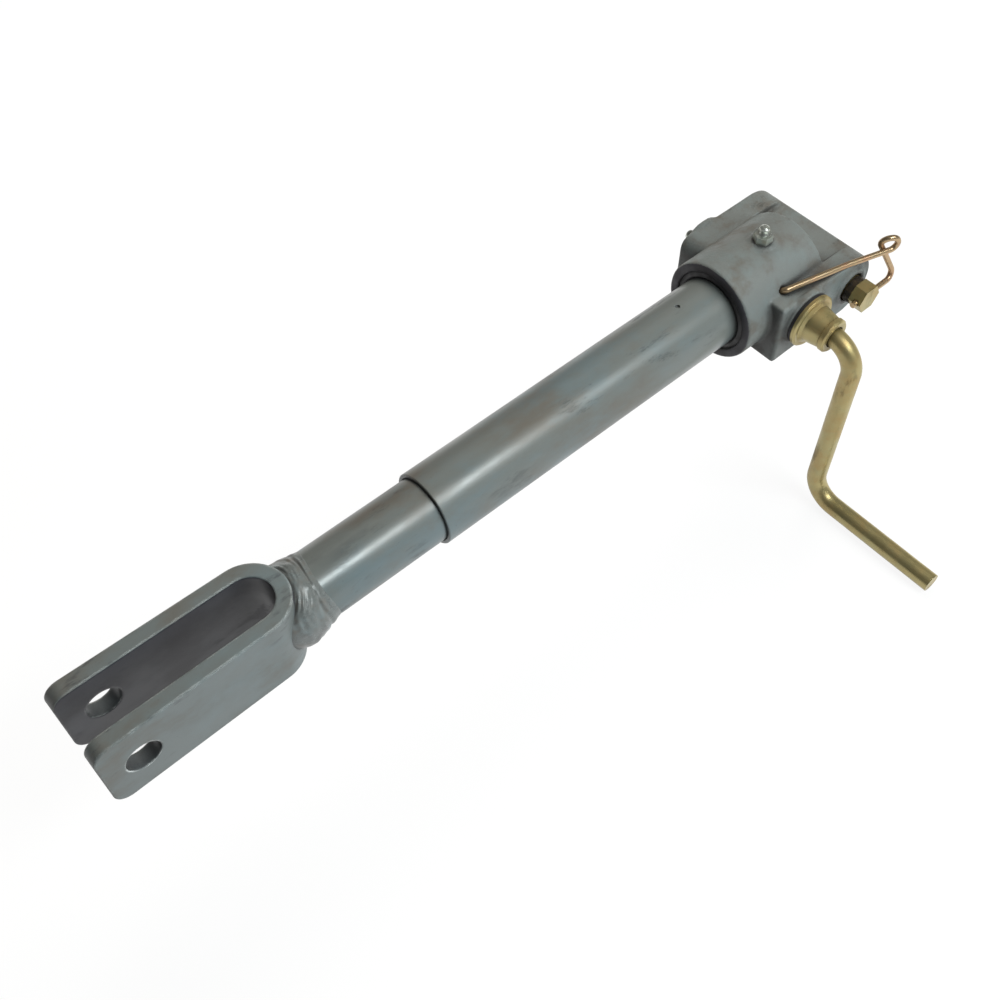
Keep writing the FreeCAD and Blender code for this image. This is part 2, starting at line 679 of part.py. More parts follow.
nutPinInner = (at("outerTubeRadius") - at("outerTubeWall") - at("slideClearance")
               - at("innerTubeWall") - at("nutWall") + at("nutPinStart"))
nutPinOuter = math.sqrt(nutPinReach ** 2 - at("nutPinRadius") ** 2)
nutPinShapes = []
for way in (1, -1):
    foot = FreeCAD.Vector(nutPinPlane, 0, at("rodAxisUp") + way * nutPinInner)
    nutPinShapes.append(Part.makeCylinder(at("nutPinRadius"), nutPinOuter - nutPinInner,
                                          foot, upZ * way))
nutPins = doc.addObject("Part::Feature", "nutPins")
nutPins.Shape = Part.makeCompound(nutPinShapes)
keep("nut_pins", nutPins)

# Lower fork: flat bar bent round to a U
fork = newBody("lowerFork", "0", "0", "Sizes.rodAxisUp")
forkSketch = sketchOn(fork, "forkPlan", "XY_Plane")
tipX = -at("forkEnd")
bendX = -at("forkBendBack")
gapY = at("forkGapHalf")
outY = at("forkGapHalf") + at("forkBar")
tipOutY = outY + at("forkOuterSplay")
tipGapY = gapY + at("forkInnerSplay")
forkCorners = [(tipX, tipOutY), (bendX, outY), (bendX, -outY), (tipX, -tipOutY),
               (tipX, -tipGapY), (bendX, -gapY), (bendX, gapY), (tipX, tipGapY)]
spots = [FreeCAD.Vector(x, y, 0) for x, y in forkCorners]
bendMiddle = FreeCAD.Vector(bendX, 0, 0)
forkSketch.addGeometry(Part.LineSegment(spots[0], spots[1]))
outerArc = Part.Circle(bendMiddle, FreeCAD.Vector(0, 0, 1), outY)
forkSketch.addGeometry(Part.ArcOfCircle(outerArc, -math.pi / 2, math.pi / 2))
forkSketch.addGeometry(Part.LineSegment(spots[2], spots[3]))
forkSketch.addGeometry(Part.LineSegment(spots[3], spots[4]))
forkSketch.addGeometry(Part.LineSegment(spots[4], spots[5]))
innerArc = Part.Circle(bendMiddle, FreeCAD.Vector(0, 0, 1), gapY)
forkSketch.addGeometry(Part.ArcOfCircle(innerArc, -math.pi / 2, math.pi / 2))
forkSketch.addGeometry(Part.LineSegment(spots[6], spots[7]))
forkSketch.addGeometry(Part.LineSegment(spots[7], spots[0]))
forkSketch.addConstraint(Sketcher.Constraint("Coincident", 0, 2, 1, 2))
forkSketch.addConstraint(Sketcher.Constraint("Coincident", 1, 1, 2, 1))
forkSketch.addConstraint(Sketcher.Constraint("Coincident", 2, 2, 3, 1))
forkSketch.addConstraint(Sketcher.Constraint("Coincident", 3, 2, 4, 1))
forkSketch.addConstraint(Sketcher.Constraint("Coincident", 4, 2, 5, 1))
forkSketch.addConstraint(Sketcher.Constraint("Coincident", 5, 2, 6, 1))
forkSketch.addConstraint(Sketcher.Constraint("Coincident", 6, 2, 7, 1))
forkSketch.addConstraint(Sketcher.Constraint("Coincident", 7, 2, 0, 1))
fixPoint(forkSketch, 0, 1, "-Sizes.forkEnd", forkOuter + " + Sizes.forkOuterSplay")
fixPoint(forkSketch, 0, 2, "-Sizes.forkBendBack", forkOuter)
fixPoint(forkSketch, 2, 1, "-Sizes.forkBendBack", "-" + forkOuter)
fixPoint(forkSketch, 3, 1, "-Sizes.forkEnd", "-" + forkOuter + " - Sizes.forkOuterSplay")
fixPoint(forkSketch, 4, 1, "-Sizes.forkEnd", "-Sizes.forkGapHalf - Sizes.forkInnerSplay")
fixPoint(forkSketch, 4, 2, "-Sizes.forkBendBack", "-Sizes.forkGapHalf")
fixPoint(forkSketch, 6, 1, "-Sizes.forkBendBack", "Sizes.forkGapHalf")
fixPoint(forkSketch, 7, 1, "-Sizes.forkEnd", "Sizes.forkGapHalf + Sizes.forkInnerSplay")
outerMiddle = forkSketch.addConstraint(Sketcher.Constraint("DistanceX", -1, 1, 1, 3, bendX))
forkSketch.setExpression("Constraints[%d]" % outerMiddle, "-Sizes.forkBendBack")
innerMiddle = forkSketch.addConstraint(Sketcher.Constraint("DistanceX", -1, 1, 5, 3, bendX))
forkSketch.setExpression("Constraints[%d]" % innerMiddle, "-Sizes.forkBendBack")
forkPad = fork.newObject("PartDesign::Pad", "forkPad")
forkPad.Profile = forkSketch
forkPad.Midplane = True
forkPad.setExpression("Length", "2 * Sizes.forkHalfHeight")
forkHole = drilled(fork, "forkPinHole", "XZ_Plane", "-Sizes.forkHole", "0", "Sizes.forkHoleRadius")
doc.recompute()

tipEdges = edgesWhere(forkHole, lambda edge, box: box.XMax < tipX + 0.01 and box.ZLength < 0.01)
forkCornerRound = fork.newObject("PartDesign::Fillet", "forkCorners")
forkCornerRound.Base = (forkHole, tipEdges)
forkCornerRound.setExpression("Radius", "Sizes.forkCorner")
doc.recompute()
longEdges = edgesWhere(forkCornerRound, lambda edge, box: edge.Length > 30 and box.ZLength < 0.01)
forkEdgeRound = fork.newObject("PartDesign::Fillet", "forkEdges")
forkEdgeRound.Base = (forkCornerRound, longEdges)
forkEdgeRound.setExpression("Radius", "Sizes.forkEdgeRound")
keep("lower_fork", fork)

# Inner tube, coped to the fork, and the weld between them
innerBlank = onRod("innerTubeBlank", [
    ("2 - Sizes.forkBendBack", innerTubeBore),
    ("2 - Sizes.forkBendBack", innerTubeRadius),
    ("-Sizes.innerTubeTop", innerTubeRadius),
    ("-Sizes.innerTubeTop", innerTubeBore)])
drilled(innerBlank, "tubePinHole", "XY_Plane", "-Sizes.innerTubeTop - 0.5 * Sizes.nutLength",
        "0", "Sizes.nutPinRadius")
cope = cylinder("tubeCope", "Z", forkOuter, "4 * Sizes.forkHalfHeight",
                "-Sizes.forkBendBack", "0", "Sizes.rodAxisUp - 2 * Sizes.forkHalfHeight")
innerTube = keep("inner_tube", cut("innerTube", innerBlank, cope))
bead = onRod("weldBead", [
    ("Sizes.weldStart - Sizes.forkBendBack", innerTubeRadius),
    ("Sizes.weldStart - Sizes.forkBendBack", innerTubeRadius + " + Sizes.weldCrown"),
    ("Sizes.weldCrownEnd - Sizes.forkBendBack", innerTubeRadius + " + Sizes.weldCrown"),
    ("Sizes.weldToe - Sizes.forkBendBack", innerTubeRadius + " + Sizes.weldToeHeight"),
    ("Sizes.weldEnd - Sizes.forkBendBack", innerTubeRadius)])
keep("fork_weld", cut("forkWeld", bead, cope))

# Crank bearings
carrierInner = "(Sizes.carrierRadius - Sizes.seatGap)"
carrierEnd = "(" + wheelPitch + " + Sizes.hubLength + Sizes.carrierGap)"
keep("crank_carrier", onCrank("crankCarrier", [
    ("-" + nearFace, "Sizes.bushRadius"),
    ("-" + nearFace, carrierInner),
    ("-" + carrierEnd, carrierInner),
    ("-" + carrierEnd, "Sizes.bushRadius")]))
keep("crank_bush", onCrank("crankBush", [
    ("-" + nearFace, "Sizes.shaftRadius + Sizes.runningClearance"),
    ("-" + nearFace, "Sizes.bushRadius"),
    ("-" + carrierEnd, "Sizes.bushRadius"),
    ("-" + carrierEnd, "Sizes.shaftRadius + Sizes.runningClearance")]))
washerStart = "Sizes.runningClearance - " + carrierEnd
keep("thrust_washer", onCrank("thrustWasher", [
    (washerStart, "Sizes.shaftRadius + Sizes.washerBoreGap"),
    (washerStart, "Sizes.carrierRadius - Sizes.washerNarrower"),
    (washerStart + " + Sizes.washerThickness", "Sizes.carrierRadius - Sizes.washerNarrower"),
    (washerStart + " + Sizes.washerThickness", "Sizes.shaftRadius + Sizes.washerBoreGap")]))
farBushStart = "Sizes.farBoreEnd - Sizes.farBushLength"
keep("crank_far_bush", onCrank("crankFarBush", [
    (farBushStart, "Sizes.spigotRadius + Sizes.runningClearance"),
    (farBushStart, "Sizes.farBushRadius"),
    ("Sizes.farBoreEnd", "Sizes.farBushRadius"),
    ("Sizes.farBoreEnd", "Sizes.spigotRadius + Sizes.runningClearance")]))
keep("crank_seal", onCrank("crankSeal", [
    ("-" + nearFace + " - Sizes.runningClearance", "Sizes.shaftRadius + Sizes.sealBoreGap"),
    ("-" + nearFace + " - Sizes.runningClearance", "Sizes.flangeRadius - Sizes.sealNarrower"),
    ("2 * Sizes.runningClearance - Sizes.flangeStart", "Sizes.flangeRadius - Sizes.sealNarrower"),
    ("2 * Sizes.runningClearance - Sizes.flangeStart", "Sizes.shaftRadius + Sizes.sealBoreGap")]))

# Crank shaft, flanged collar and bent handle
shaftNearEnd = "2 * Sizes.runningClearance - Sizes.flangeStart - Sizes.shaftCollarDepth"
grooveEnd = farBushStart + " - Sizes.clipGrooveInset"
grooveStart = grooveEnd + " - Sizes.clipGrooveWidth"
shaft = onCrank("crankShaft", [
    (shaftNearEnd, "0"),
    (shaftNearEnd, "Sizes.shaftRadius"),
    ("-" + wheelPitch + " - Sizes.hubLength", "Sizes.shaftRadius"),
    ("-" + wheelPitch + " - Sizes.hubLength", "Sizes.spigotRadius"),
    (grooveStart, "Sizes.spigotRadius"),
    (grooveStart, "Sizes.spigotRadius - Sizes.clipGrooveDepth"),
    (grooveEnd, "Sizes.spigotRadius - Sizes.clipGrooveDepth"),
    (grooveEnd, "Sizes.spigotRadius"),
    ("Sizes.shaftFarEnd - 1", "Sizes.spigotRadius"),
    ("Sizes.shaftFarEnd", "Sizes.spigotRadius - 1"),
    ("Sizes.shaftFarEnd", "0")])
drilled(shaft, "shaftPinHole", "XY_Plane", "0", "-" + wheelPitch + " - 0.5 * Sizes.hubLength",
        "Sizes.shaftPinRadius")
keep("crank_shaft", shaft)
shaftClipInner = "Sizes.spigotRadius - Sizes.clipGrooveDepth + Sizes.runningClearance"
shaftClipOuter = "Sizes.spigotRadius + Sizes.shaftClipReach"
keep("shaft_clip", onCrank("shaftClip", [
    (grooveStart + " + 2 * Sizes.runningClearance", shaftClipInner),
    (grooveStart + " + 2 * Sizes.runningClearance", shaftClipOuter),
    (grooveEnd + " - 2 * Sizes.runningClearance", shaftClipOuter),
    (grooveEnd + " - 2 * Sizes.runningClearance", shaftClipInner)]))
flangeFront = "-Sizes.flangeStart - Sizes.flangeThickness"
handleFoot = "-Sizes.flangeStart - Sizes.shaftCollarDepth"
keep("crank_flange", onCrank("crankFlange", [
    ("-Sizes.flangeStart", "Sizes.shaftRadius"),
    ("-Sizes.flangeStart", "Sizes.flangeRadius"),
    (flangeFront + " + Sizes.flangeBevel", "Sizes.flangeRadius"),
    (flangeFront, "Sizes.flangeRadius - Sizes.flangeBevel"),
    (flangeFront, "Sizes.flangeRadius - 3 * Sizes.flangeBevel"),
    (flangeFront + " - Sizes.flangeFillet", "Sizes.bushRadius + Sizes.collarFoot"),
    ("Sizes.collarLipWidth + Sizes.collarLip - Sizes.collarEnd", "Sizes.bushRadius"),
    ("Sizes.collarLipWidth - Sizes.collarEnd", "Sizes.bushRadius + Sizes.collarLip"),
    ("Sizes.flangeBevel - Sizes.collarEnd", "Sizes.bushRadius + Sizes.collarLip"),
    ("-Sizes.collarEnd", "Sizes.bushRadius + Sizes.collarLip - Sizes.flangeBevel"),
    ("-Sizes.collarEnd", "Sizes.rodRadius + Sizes.collarMouth"),
    ("2 * Sizes.collarMouth - Sizes.collarEnd", "Sizes.rodRadius"),
    (handleFoot, "Sizes.rodRadius"),
    (handleFoot, "Sizes.shaftRadius")]))
handle = newBody("crankHandle", "-Sizes.crankBack", "0", "Sizes.rodAxisUp")
handlePath = sketchOn(handle, "handlePath", "YZ_Plane")
startY = -(at("flangeStart") + at("shaftCollarDepth"))
armY = -at("armPlane")
footZ = -at("armDrop")
bend = at("bendRadius")
handlePath.addGeometry(Part.LineSegment(FreeCAD.Vector(startY, 0, 0),
                                        FreeCAD.Vector(armY + bend, 0, 0)))
topBend = Part.Circle(FreeCAD.Vector(armY + bend, -bend, 0), FreeCAD.Vector(0, 0, 1), bend)
handlePath.addGeometry(Part.ArcOfCircle(topBend, math.pi / 2, math.pi))
handlePath.addGeometry(Part.LineSegment(FreeCAD.Vector(armY, -bend, 0),
                                        FreeCAD.Vector(armY, footZ + bend, 0)))
lowBend = Part.Circle(FreeCAD.Vector(armY - bend, footZ + bend, 0), FreeCAD.Vector(0, 0, 1), bend)
handlePath.addGeometry(Part.ArcOfCircle(lowBend, -math.pi / 2, 0))
handlePath.addGeometry(Part.LineSegment(FreeCAD.Vector(armY - bend, footZ, 0),
                                        FreeCAD.Vector(-at("gripEnd"), footZ, 0)))
handlePath.addConstraint(Sketcher.Constraint("Tangent", 0, 2, 1, 1))
handlePath.addConstraint(Sketcher.Constraint("Tangent", 1, 2, 2, 1))
handlePath.addConstraint(Sketcher.Constraint("Tangent", 2, 2, 3, 2))
handlePath.addConstraint(Sketcher.Constraint("Tangent", 3, 1, 4, 1))
handlePath.addConstraint(Sketcher.Constraint("Horizontal", 0))
handlePath.addConstraint(Sketcher.Constraint("Vertical", 2))
handlePath.addConstraint(Sketcher.Constraint("Horizontal", 4))
fixPoint(handlePath, 0, 1, handleFoot, "0")
fixPoint(handlePath, 4, 2, "-Sizes.gripEnd", "-Sizes.armDrop")
armSpot = handlePath.addConstraint(Sketcher.Constraint("DistanceX", -1, 1, 2, 1, armY))
handlePath.setExpression("Constraints[%d]" % armSpot, "-Sizes.armPlane")
fixRadius(handlePath, 1, "Sizes.bendRadius")
fixRadius(handlePath, 3, "Sizes.bendRadius")
handleRound = sketchOn(handle, "handleRound", "XZ_Plane")
handleRound.setExpression("AttachmentOffset.Base.z",
                          "Sizes.flangeStart + Sizes.shaftCollarDepth")
circleAt(handleRound, "0", "0", "Sizes.rodRadius")
handlePipe = handle.newObject("PartDesign::AdditivePipe", "handlePipe")
handlePipe.Profile = handleRound
handlePipe.Spine = (handlePath, ["Edge1", "Edge2", "Edge3", "Edge4", "Edge5"])
keep("crank_handle", handle)

# Upper pin with its six-sided end, drilled for the wire clip
pinSeat = "(Sizes.farSide + Sizes.pinPadHeight + 2 * Sizes.runningClearance)"
pin = turned("upperPin", "Y", [
    ("-Sizes.hexStart", "0"),
    ("-Sizes.hexStart", "Sizes.pinNeckRadius"),
    ("1 - Sizes.nearSide", "Sizes.pinNeckRadius"),
    ("2 - Sizes.nearSide", "Sizes.pinRadius"),
    (pinSeat, "Sizes.pinRadius"),
    (pinSeat, "Sizes.pinHeadRadius"),
    (pinSeat + " + Sizes.pinHeadLength - 1", "Sizes.pinHeadRadius"),
    (pinSeat + " + Sizes.pinHeadLength", "Sizes.pinHeadRadius - 1"),
    (pinSeat + " + Sizes.pinHeadLength", "0")], "0", "0", "0")


def hexagonOn(body, name, role, across, start, height):
    # six-sided pad with its flats that far apart
    sketch = sketchOn(body, name + "Sketch", role)
    sketch.setExpression("AttachmentOffset.Base.z", start)
    corner = across + " / 2 / cos(30)"
    outline(sketch, [(corner + " * cos(%d)" % turn, corner + " * sin(%d)" % turn)
                     for turn in range(0, 360, 60)])
    pad = body.newObject("PartDesign::Pad", name)
    pad.Profile = sketch
    pad.setExpression("Length", height)
    return pad


hexPad = hexagonOn(pin, "hexPad", "XZ_Plane", "Sizes.hexAcross", "Sizes.hexStart",
                   "Sizes.hexEnd - Sizes.hexStart")
drilled(pin, "clipHole", "YZ_Plane", "-Sizes.clipHoleOut", "0",
        "Sizes.wireRadius + Sizes.wireClearance")
keep("upper_pin", pin)

# Wire clip: one leg through the pin, an eye, and a long leg over the housing
def bentWire(points, radii, thickness):
    # straight runs joined by tangent arcs, swept with a round section
    edges = []
    last = points[0]
    for number in range(1, len(points) - 1):
        corner = points[number]
        radius = radii[number - 1]
        inward = (points[number - 1] - corner).normalize()
        onward = (points[number + 1] - corner).normalize()
        half = inward.getAngle(onward) / 2
        middle = corner + (inward + onward).normalize() * (radius / math.sin(half))
        crown = middle + (corner - middle).normalize() * radius
        start = corner + inward * (radius / math.tan(half))
        end = corner + onward * (radius / math.tan(half))
        if (start - last).Length > 0.001:
            edges.append(Part.makeLine(last, start))
        edges.append(Part.Arc(start, crown, end).toShape())
        last = end
    edges.append(Part.makeLine(last, points[-1]))
    ring = Part.Circle(points[0], (points[1] - points[0]).normalize(), thickness)
    return Part.Wire(edges).makePipeShell([Part.Wire([ring.toShape()])], True, False)


clipY = -at("clipHoleOut")
topZ = at("clipTop")
eyeRadius = at("eyeRadius")
legStart = FreeCAD.Vector(at("eyeStartAlong"), -at("eyeStartOut"), topZ)
legKnee = FreeCAD.Vector(-at("kneeAlong"), -at("kneeOut"), topZ)
heading = (legStart - legKnee).normalize()
across = upZ.cross(heading)
eyeUp = (upZ * at("eyeRise") - across).normalize()
eyeMiddle = legStart + heading * at("wireRadius") + eyeUp * eyeRadius
eyeCorners = 5
eyeEnter = 205
eyeSweep = (eyeEnter + 90) / eyeCorners
cornerRadius = eyeRadius / math.cos(math.radians(eyeSweep / 2))
clipPath = [FreeCAD.Vector(-at("legEndBack"), clipY, 0), FreeCAD.Vector(at("legReach"), clipY, 0)]
for number in range(eyeCorners):
    angle = math.radians(eyeEnter - eyeSweep * (number + 0.5))
    drift = at("eyeDrift") * (1 - number / (eyeCorners - 1)) ** 1.5
    clipPath.append(eyeMiddle + heading * cornerRadius * math.cos(angle)
                    + eyeUp * cornerRadius * math.sin(angle) + across * drift)
clipPath.append(legKnee)
clipPath.append(tipCorner)
clipPath.append(tipCorner - tipOutward * at("tipLength"))
clipBends = [at("legBend")] + [0.93 * eyeRadius] * eyeCorners + [at("kneeBend"), at("tipBend")]
clip = doc.addObject("Part::Feature", "wireClip")
clip.Shape = bentWire(clipPath, clipBends, at("wireRadius"))
keep("wire_clip", clip)

# Grease nipples
def greaseNipple(label, axis, seat, x, z):
    # threaded shank, six-sided body, waist and ball end
    hexTop = seat + " + Sizes.nippleHexHeight"
    nipple = turned(label, axis, [
        (seat + " - Sizes.nippleDepth", "0"),
        (seat + " - Sizes.nippleDepth", "Sizes.nippleShank"),
        (hexTop, "Sizes.nippleShank"),
        (hexTop + " + 0.3 * Sizes.nippleNose", "0.65 * Sizes.nippleBall"),
        (hexTop + " + 0.45 * Sizes.nippleNose", "0.65 * Sizes.nippleBall"),
        (hexTop + " + 0.55 * Sizes.nippleNose", "0.92 * Sizes.nippleBall"),
        (hexTop + " + 0.7 * Sizes.nippleNose", "Sizes.nippleBall"),
        (hexTop + " + 0.85 * Sizes.nippleNose", "0.9 * Sizes.nippleBall"),
        (hexTop + " + Sizes.nippleNose", "0.5 * Sizes.nippleBall"),
        (hexTop + " + Sizes.nippleNose", "0")], x, "0", z)
    if axis == "Z":
        hexagonOn(nipple, label + "Hex", "XY_Plane", "Sizes.nippleAcross", seat,
                  "Sizes.nippleHexHeight")
    else:
        hexagonOn(nipple, label + "Hex", "XZ_Plane", "Sizes.nippleAcross",
                  "-(" + hexTop + ")", "Sizes.nippleHexHeight")
    return nipple


topSeat = "Sizes.barrelRadius + Sizes.nipplePadHeight + Sizes.runningClearance"
keep("grease_nipple_top", greaseNipple("topNipple", "Z", topSeat, "-Sizes.crankBack",
                                       "Sizes.rodAxisUp"))
keep("grease_nipple_side", greaseNipple("sideNipple", "Y", farFace + " + Sizes.runningClearance",
                                        "-Sizes.crankBack", "Sizes.rodAxisUp"))

# Check every object, then write one file for each piece
doc.recompute()
failed = []
for thing in doc.Objects:
    for state in thing.State:
        if state in ("Invalid", "Error"):
            failed.append(thing.Name)
if failed:
    raise RuntimeError("objects not built: " + ", ".join(failed))
os.makedirs("parts", exist_ok=True)
for piece in pieces:
    shape = piece.Shape
    if shape.isNull() or not shape.isValid() or not shape.Solids:
        raise RuntimeError("bad solid: " + piece.Label)
    shape.exportStep("parts/" + piece.Label + ".step")
    print(piece.Label, len(shape.Solids), "solid, volume", round(shape.Volume / 1000, 2), "cm3")
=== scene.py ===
import json
import math

import bmesh
import bpy
from mathutils import Matrix, Vector, noise


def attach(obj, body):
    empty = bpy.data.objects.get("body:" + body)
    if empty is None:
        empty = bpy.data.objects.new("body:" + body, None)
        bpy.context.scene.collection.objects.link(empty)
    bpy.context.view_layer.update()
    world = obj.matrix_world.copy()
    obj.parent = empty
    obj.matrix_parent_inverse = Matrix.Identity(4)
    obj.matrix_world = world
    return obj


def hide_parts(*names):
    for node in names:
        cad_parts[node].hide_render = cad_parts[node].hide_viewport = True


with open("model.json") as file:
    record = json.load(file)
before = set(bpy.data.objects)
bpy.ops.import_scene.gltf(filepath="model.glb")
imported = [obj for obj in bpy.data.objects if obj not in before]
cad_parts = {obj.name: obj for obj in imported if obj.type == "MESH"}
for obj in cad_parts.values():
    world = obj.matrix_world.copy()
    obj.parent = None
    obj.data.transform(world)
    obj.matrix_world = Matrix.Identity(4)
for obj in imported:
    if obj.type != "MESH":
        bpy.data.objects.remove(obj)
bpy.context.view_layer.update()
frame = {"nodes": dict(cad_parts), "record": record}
nodes = frame["nodes"]
mm = 0.001
print("frame loaded,", len(nodes), "nodes")

rodUp = 6 * mm                      # the rod's axis above the upper pin
crankX = -45.8 * mm                 # the crank line, down the rod from the pin


# Camera

cameraSettings = {
    "spot": (-0.5173, -0.3118, 0.5387),
    "right": (0.755, -0.656, -0.011),
    "up": (0.539, 0.611, 0.580),
    "lens": 43.436,
    "sensor": 36,
    "shiftY": -0.0014,
    "clipStart": 0.01,
}


def makeCamera(settings):
    right = Vector(settings["right"]).normalized()
    up = Vector(settings["up"])
    up = (up - right * up.dot(right)).normalized()
    back = right.cross(up)
    cameraData = bpy.data.cameras.new("photoCamera")
    cameraData.lens = settings["lens"]
    cameraData.sensor_width = settings["sensor"]
    cameraData.shift_y = settings["shiftY"]
    cameraData.clip_start = settings["clipStart"]
    camera = bpy.data.objects.new("photoCamera", cameraData)
    turn = Matrix((right, up, back)).transposed()
    camera.matrix_world = Matrix.Translation(settings["spot"]) @ turn.to_4x4()
    bpy.context.scene.collection.objects.link(camera)
    bpy.context.scene.camera = camera


makeCamera(cameraSettings)


# Shader helpers

def newGroup(name, inputs, outputs):
    group = bpy.data.node_groups.new(name, "ShaderNodeTree")
    for title, kind, value in inputs:
        socket = group.interface.new_socket(title, in_out="INPUT", socket_type=kind)
        if value is not None:
            socket.default_value = value
    for title, kind in outputs:
        group.interface.new_socket(title, in_out="OUTPUT", socket_type=kind)
    return group, group.nodes.new("NodeGroupInput"), group.nodes.new("NodeGroupOutput")


def addNode(tree, kind, links=None, **values):
    # a node with its settings and its inputs, by name or number
    node = tree.nodes.new(kind)
    for key, value in values.items():
        setattr(node, key, value)
    for socket, source in (links or {}).items():
        if hasattr(source, "is_output"):
            tree.links.new(source, node.inputs[socket])
        else:
            node.inputs[socket].default_value = source
    return node


def mathOf(tree, operation, first, second=0.5, third=None):
    links = {0: first, 1: second}
    if third is not None:
        links[2] = third
    return addNode(tree, "ShaderNodeMath", links, operation=operation).outputs[0]


def rampOf(tree, source, low, high, toLow=0.0, toHigh=1.0):
    node = addNode(tree, "ShaderNodeMapRange", {"Value": source, "From Min": low, "From Max": high,
                                                "To Min": toLow, "To Max": toHigh})
    node.interpolation_type = "SMOOTHSTEP"
    return node.outputs["Result"]


def mixColour(tree, factor, first, second):
    return addNode(tree, "ShaderNodeMix", {0: factor, 6: first, 7: second},
                   data_type="RGBA").outputs[2]


def colour(red, green, blue):
    return (red, green, blue, 1.0)


def buildMottle():
    # cloudy change between three colours over the surface
    group, enter, leave = newGroup(
        "mottle",
        [("Base", "NodeSocketColor", colour(0.2, 0.2, 0.2)),
         ("Warm", "NodeSocketColor", colour(0.2, 0.18, 0.15)),
         ("Cool", "NodeSocketColor", colour(0.18, 0.2, 0.22)),
         ("Scale", "NodeSocketFloat", 40.0),
         ("Stretch", "NodeSocketVector", (1.0, 1.0, 1.0)),
         ("Warmth", "NodeSocketFloat", 0.5),
         ("Coolness", "NodeSocketFloat", 0.5)],
        [("Color", "NodeSocketColor"), ("Mask", "NodeSocketFloat")])
    place = addNode(group, "ShaderNodeTexCoord").outputs["Object"]
    scaled = addNode(group, "ShaderNodeVectorMath", {0: place, 1: enter.outputs["Stretch"]},
                     operation="MULTIPLY").outputs[0]
    broad = addNode(group, "ShaderNodeTexNoise", {"Vector": scaled, "Scale": enter.outputs["Scale"],
                                                  "Detail": 5.0, "Roughness": 0.62})
    shifted = addNode(group, "ShaderNodeVectorMath", {0: scaled, 1: (3.1, 7.7, 1.9)},
                      operation="ADD").outputs[0]
    other = addNode(group, "ShaderNodeTexNoise", {"Vector": shifted, "Scale": enter.outputs["Scale"],
                                                  "Detail": 6.0, "Roughness": 0.68})
    warm = mathOf(group, "MULTIPLY", rampOf(group, broad.outputs["Fac"], 0.46, 0.68),
                  enter.outputs["Warmth"])
    cool = mathOf(group, "MULTIPLY", rampOf(group, other.outputs["Fac"], 0.46, 0.68),
                  enter.outputs["Coolness"])
    mixed = mixColour(group, warm, enter.outputs["Base"], enter.outputs["Warm"])
    mixed = mixColour(group, cool, mixed, enter.outputs["Cool"])
    group.links.new(mixed, leave.inputs["Color"])
    group.links.new(broad.outputs["Fac"], leave.inputs["Mask"])
    return group


def buildEdgeWear():
    # mask on corners, from the bevelled normal against the true one
    group, enter, leave = newGroup(
        "edgeWear",
        [("Radius", "NodeSocketFloat", 0.6 * mm), ("Low", "NodeSocketFloat", 0.02),
         ("High", "NodeSocketFloat", 0.2)],
        [("Mask", "NodeSocketFloat"), ("Normal", "NodeSocketVector")])
    rounded = addNode(group, "ShaderNodeBevel", {"Radius": enter.outputs["Radius"]}, samples=6)
    flat = addNode(group, "ShaderNodeNewGeometry").outputs["Normal"]
    likeness = addNode(group, "ShaderNodeVectorMath", {0: rounded.outputs["Normal"], 1: flat},
                       operation="DOT_PRODUCT").outputs["Value"]
    bend = mathOf(group, "SUBTRACT", 1.0, likeness)
    mask = addNode(group, "ShaderNodeMapRange", {"Value": bend, "From Min": enter.outputs["Low"],
                                                 "From Max": enter.outputs["High"]}).outputs[0]
    place = addNode(group, "ShaderNodeTexCoord").outputs["Object"]
    patchy = addNode(group, "ShaderNodeTexNoise", {"Vector": place, "Scale": 160.0, "Detail": 4.0})
    broken = mathOf(group, "MULTIPLY", mask, rampOf(group, patchy.outputs["Fac"], 0.35, 0.6))
    group.links.new(broken, leave.inputs["Mask"])
    group.links.new(rounded.outputs["Normal"], leave.inputs["Normal"])
    return group


def buildGrain():
    # height of a cast, rolled or plated skin
    group, enter, leave = newGroup(
        "grain",
        [("Fine", "NodeSocketFloat", 900.0), ("Broad", "NodeSocketFloat", 120.0),
         ("Stretch", "NodeSocketVector", (1.0, 1.0, 1.0)), ("Mix", "NodeSocketFloat", 0.5)],
        [("Height", "NodeSocketFloat"), ("Pits", "NodeSocketFloat")])
    place = addNode(group, "ShaderNodeTexCoord").outputs["Object"]
    scaled = addNode(group, "ShaderNodeVectorMath", {0: place, 1: enter.outputs["Stretch"]},
                     operation="MULTIPLY").outputs[0]
    fine = addNode(group, "ShaderNodeTexNoise", {"Vector": scaled, "Scale": enter.outputs["Fine"],
                                                 "Detail": 4.0, "Roughness": 0.6})
    broad = addNode(group, "ShaderNodeTexNoise", {"Vector": scaled, "Scale": enter.outputs["Broad"],
                                                  "Detail": 3.0, "Roughness": 0.5})
    height = addNode(group, "ShaderNodeMix", {0: enter.outputs["Mix"], 2: fine.outputs["Fac"],
                                              3: broad.outputs["Fac"]}).outputs[0]
    pits = rampOf(group, fine.outputs["Fac"], 0.66, 0.74)
    group.links.new(height, leave.inputs["Height"])
    group.links.new(pits, leave.inputs["Pits"])
    return group


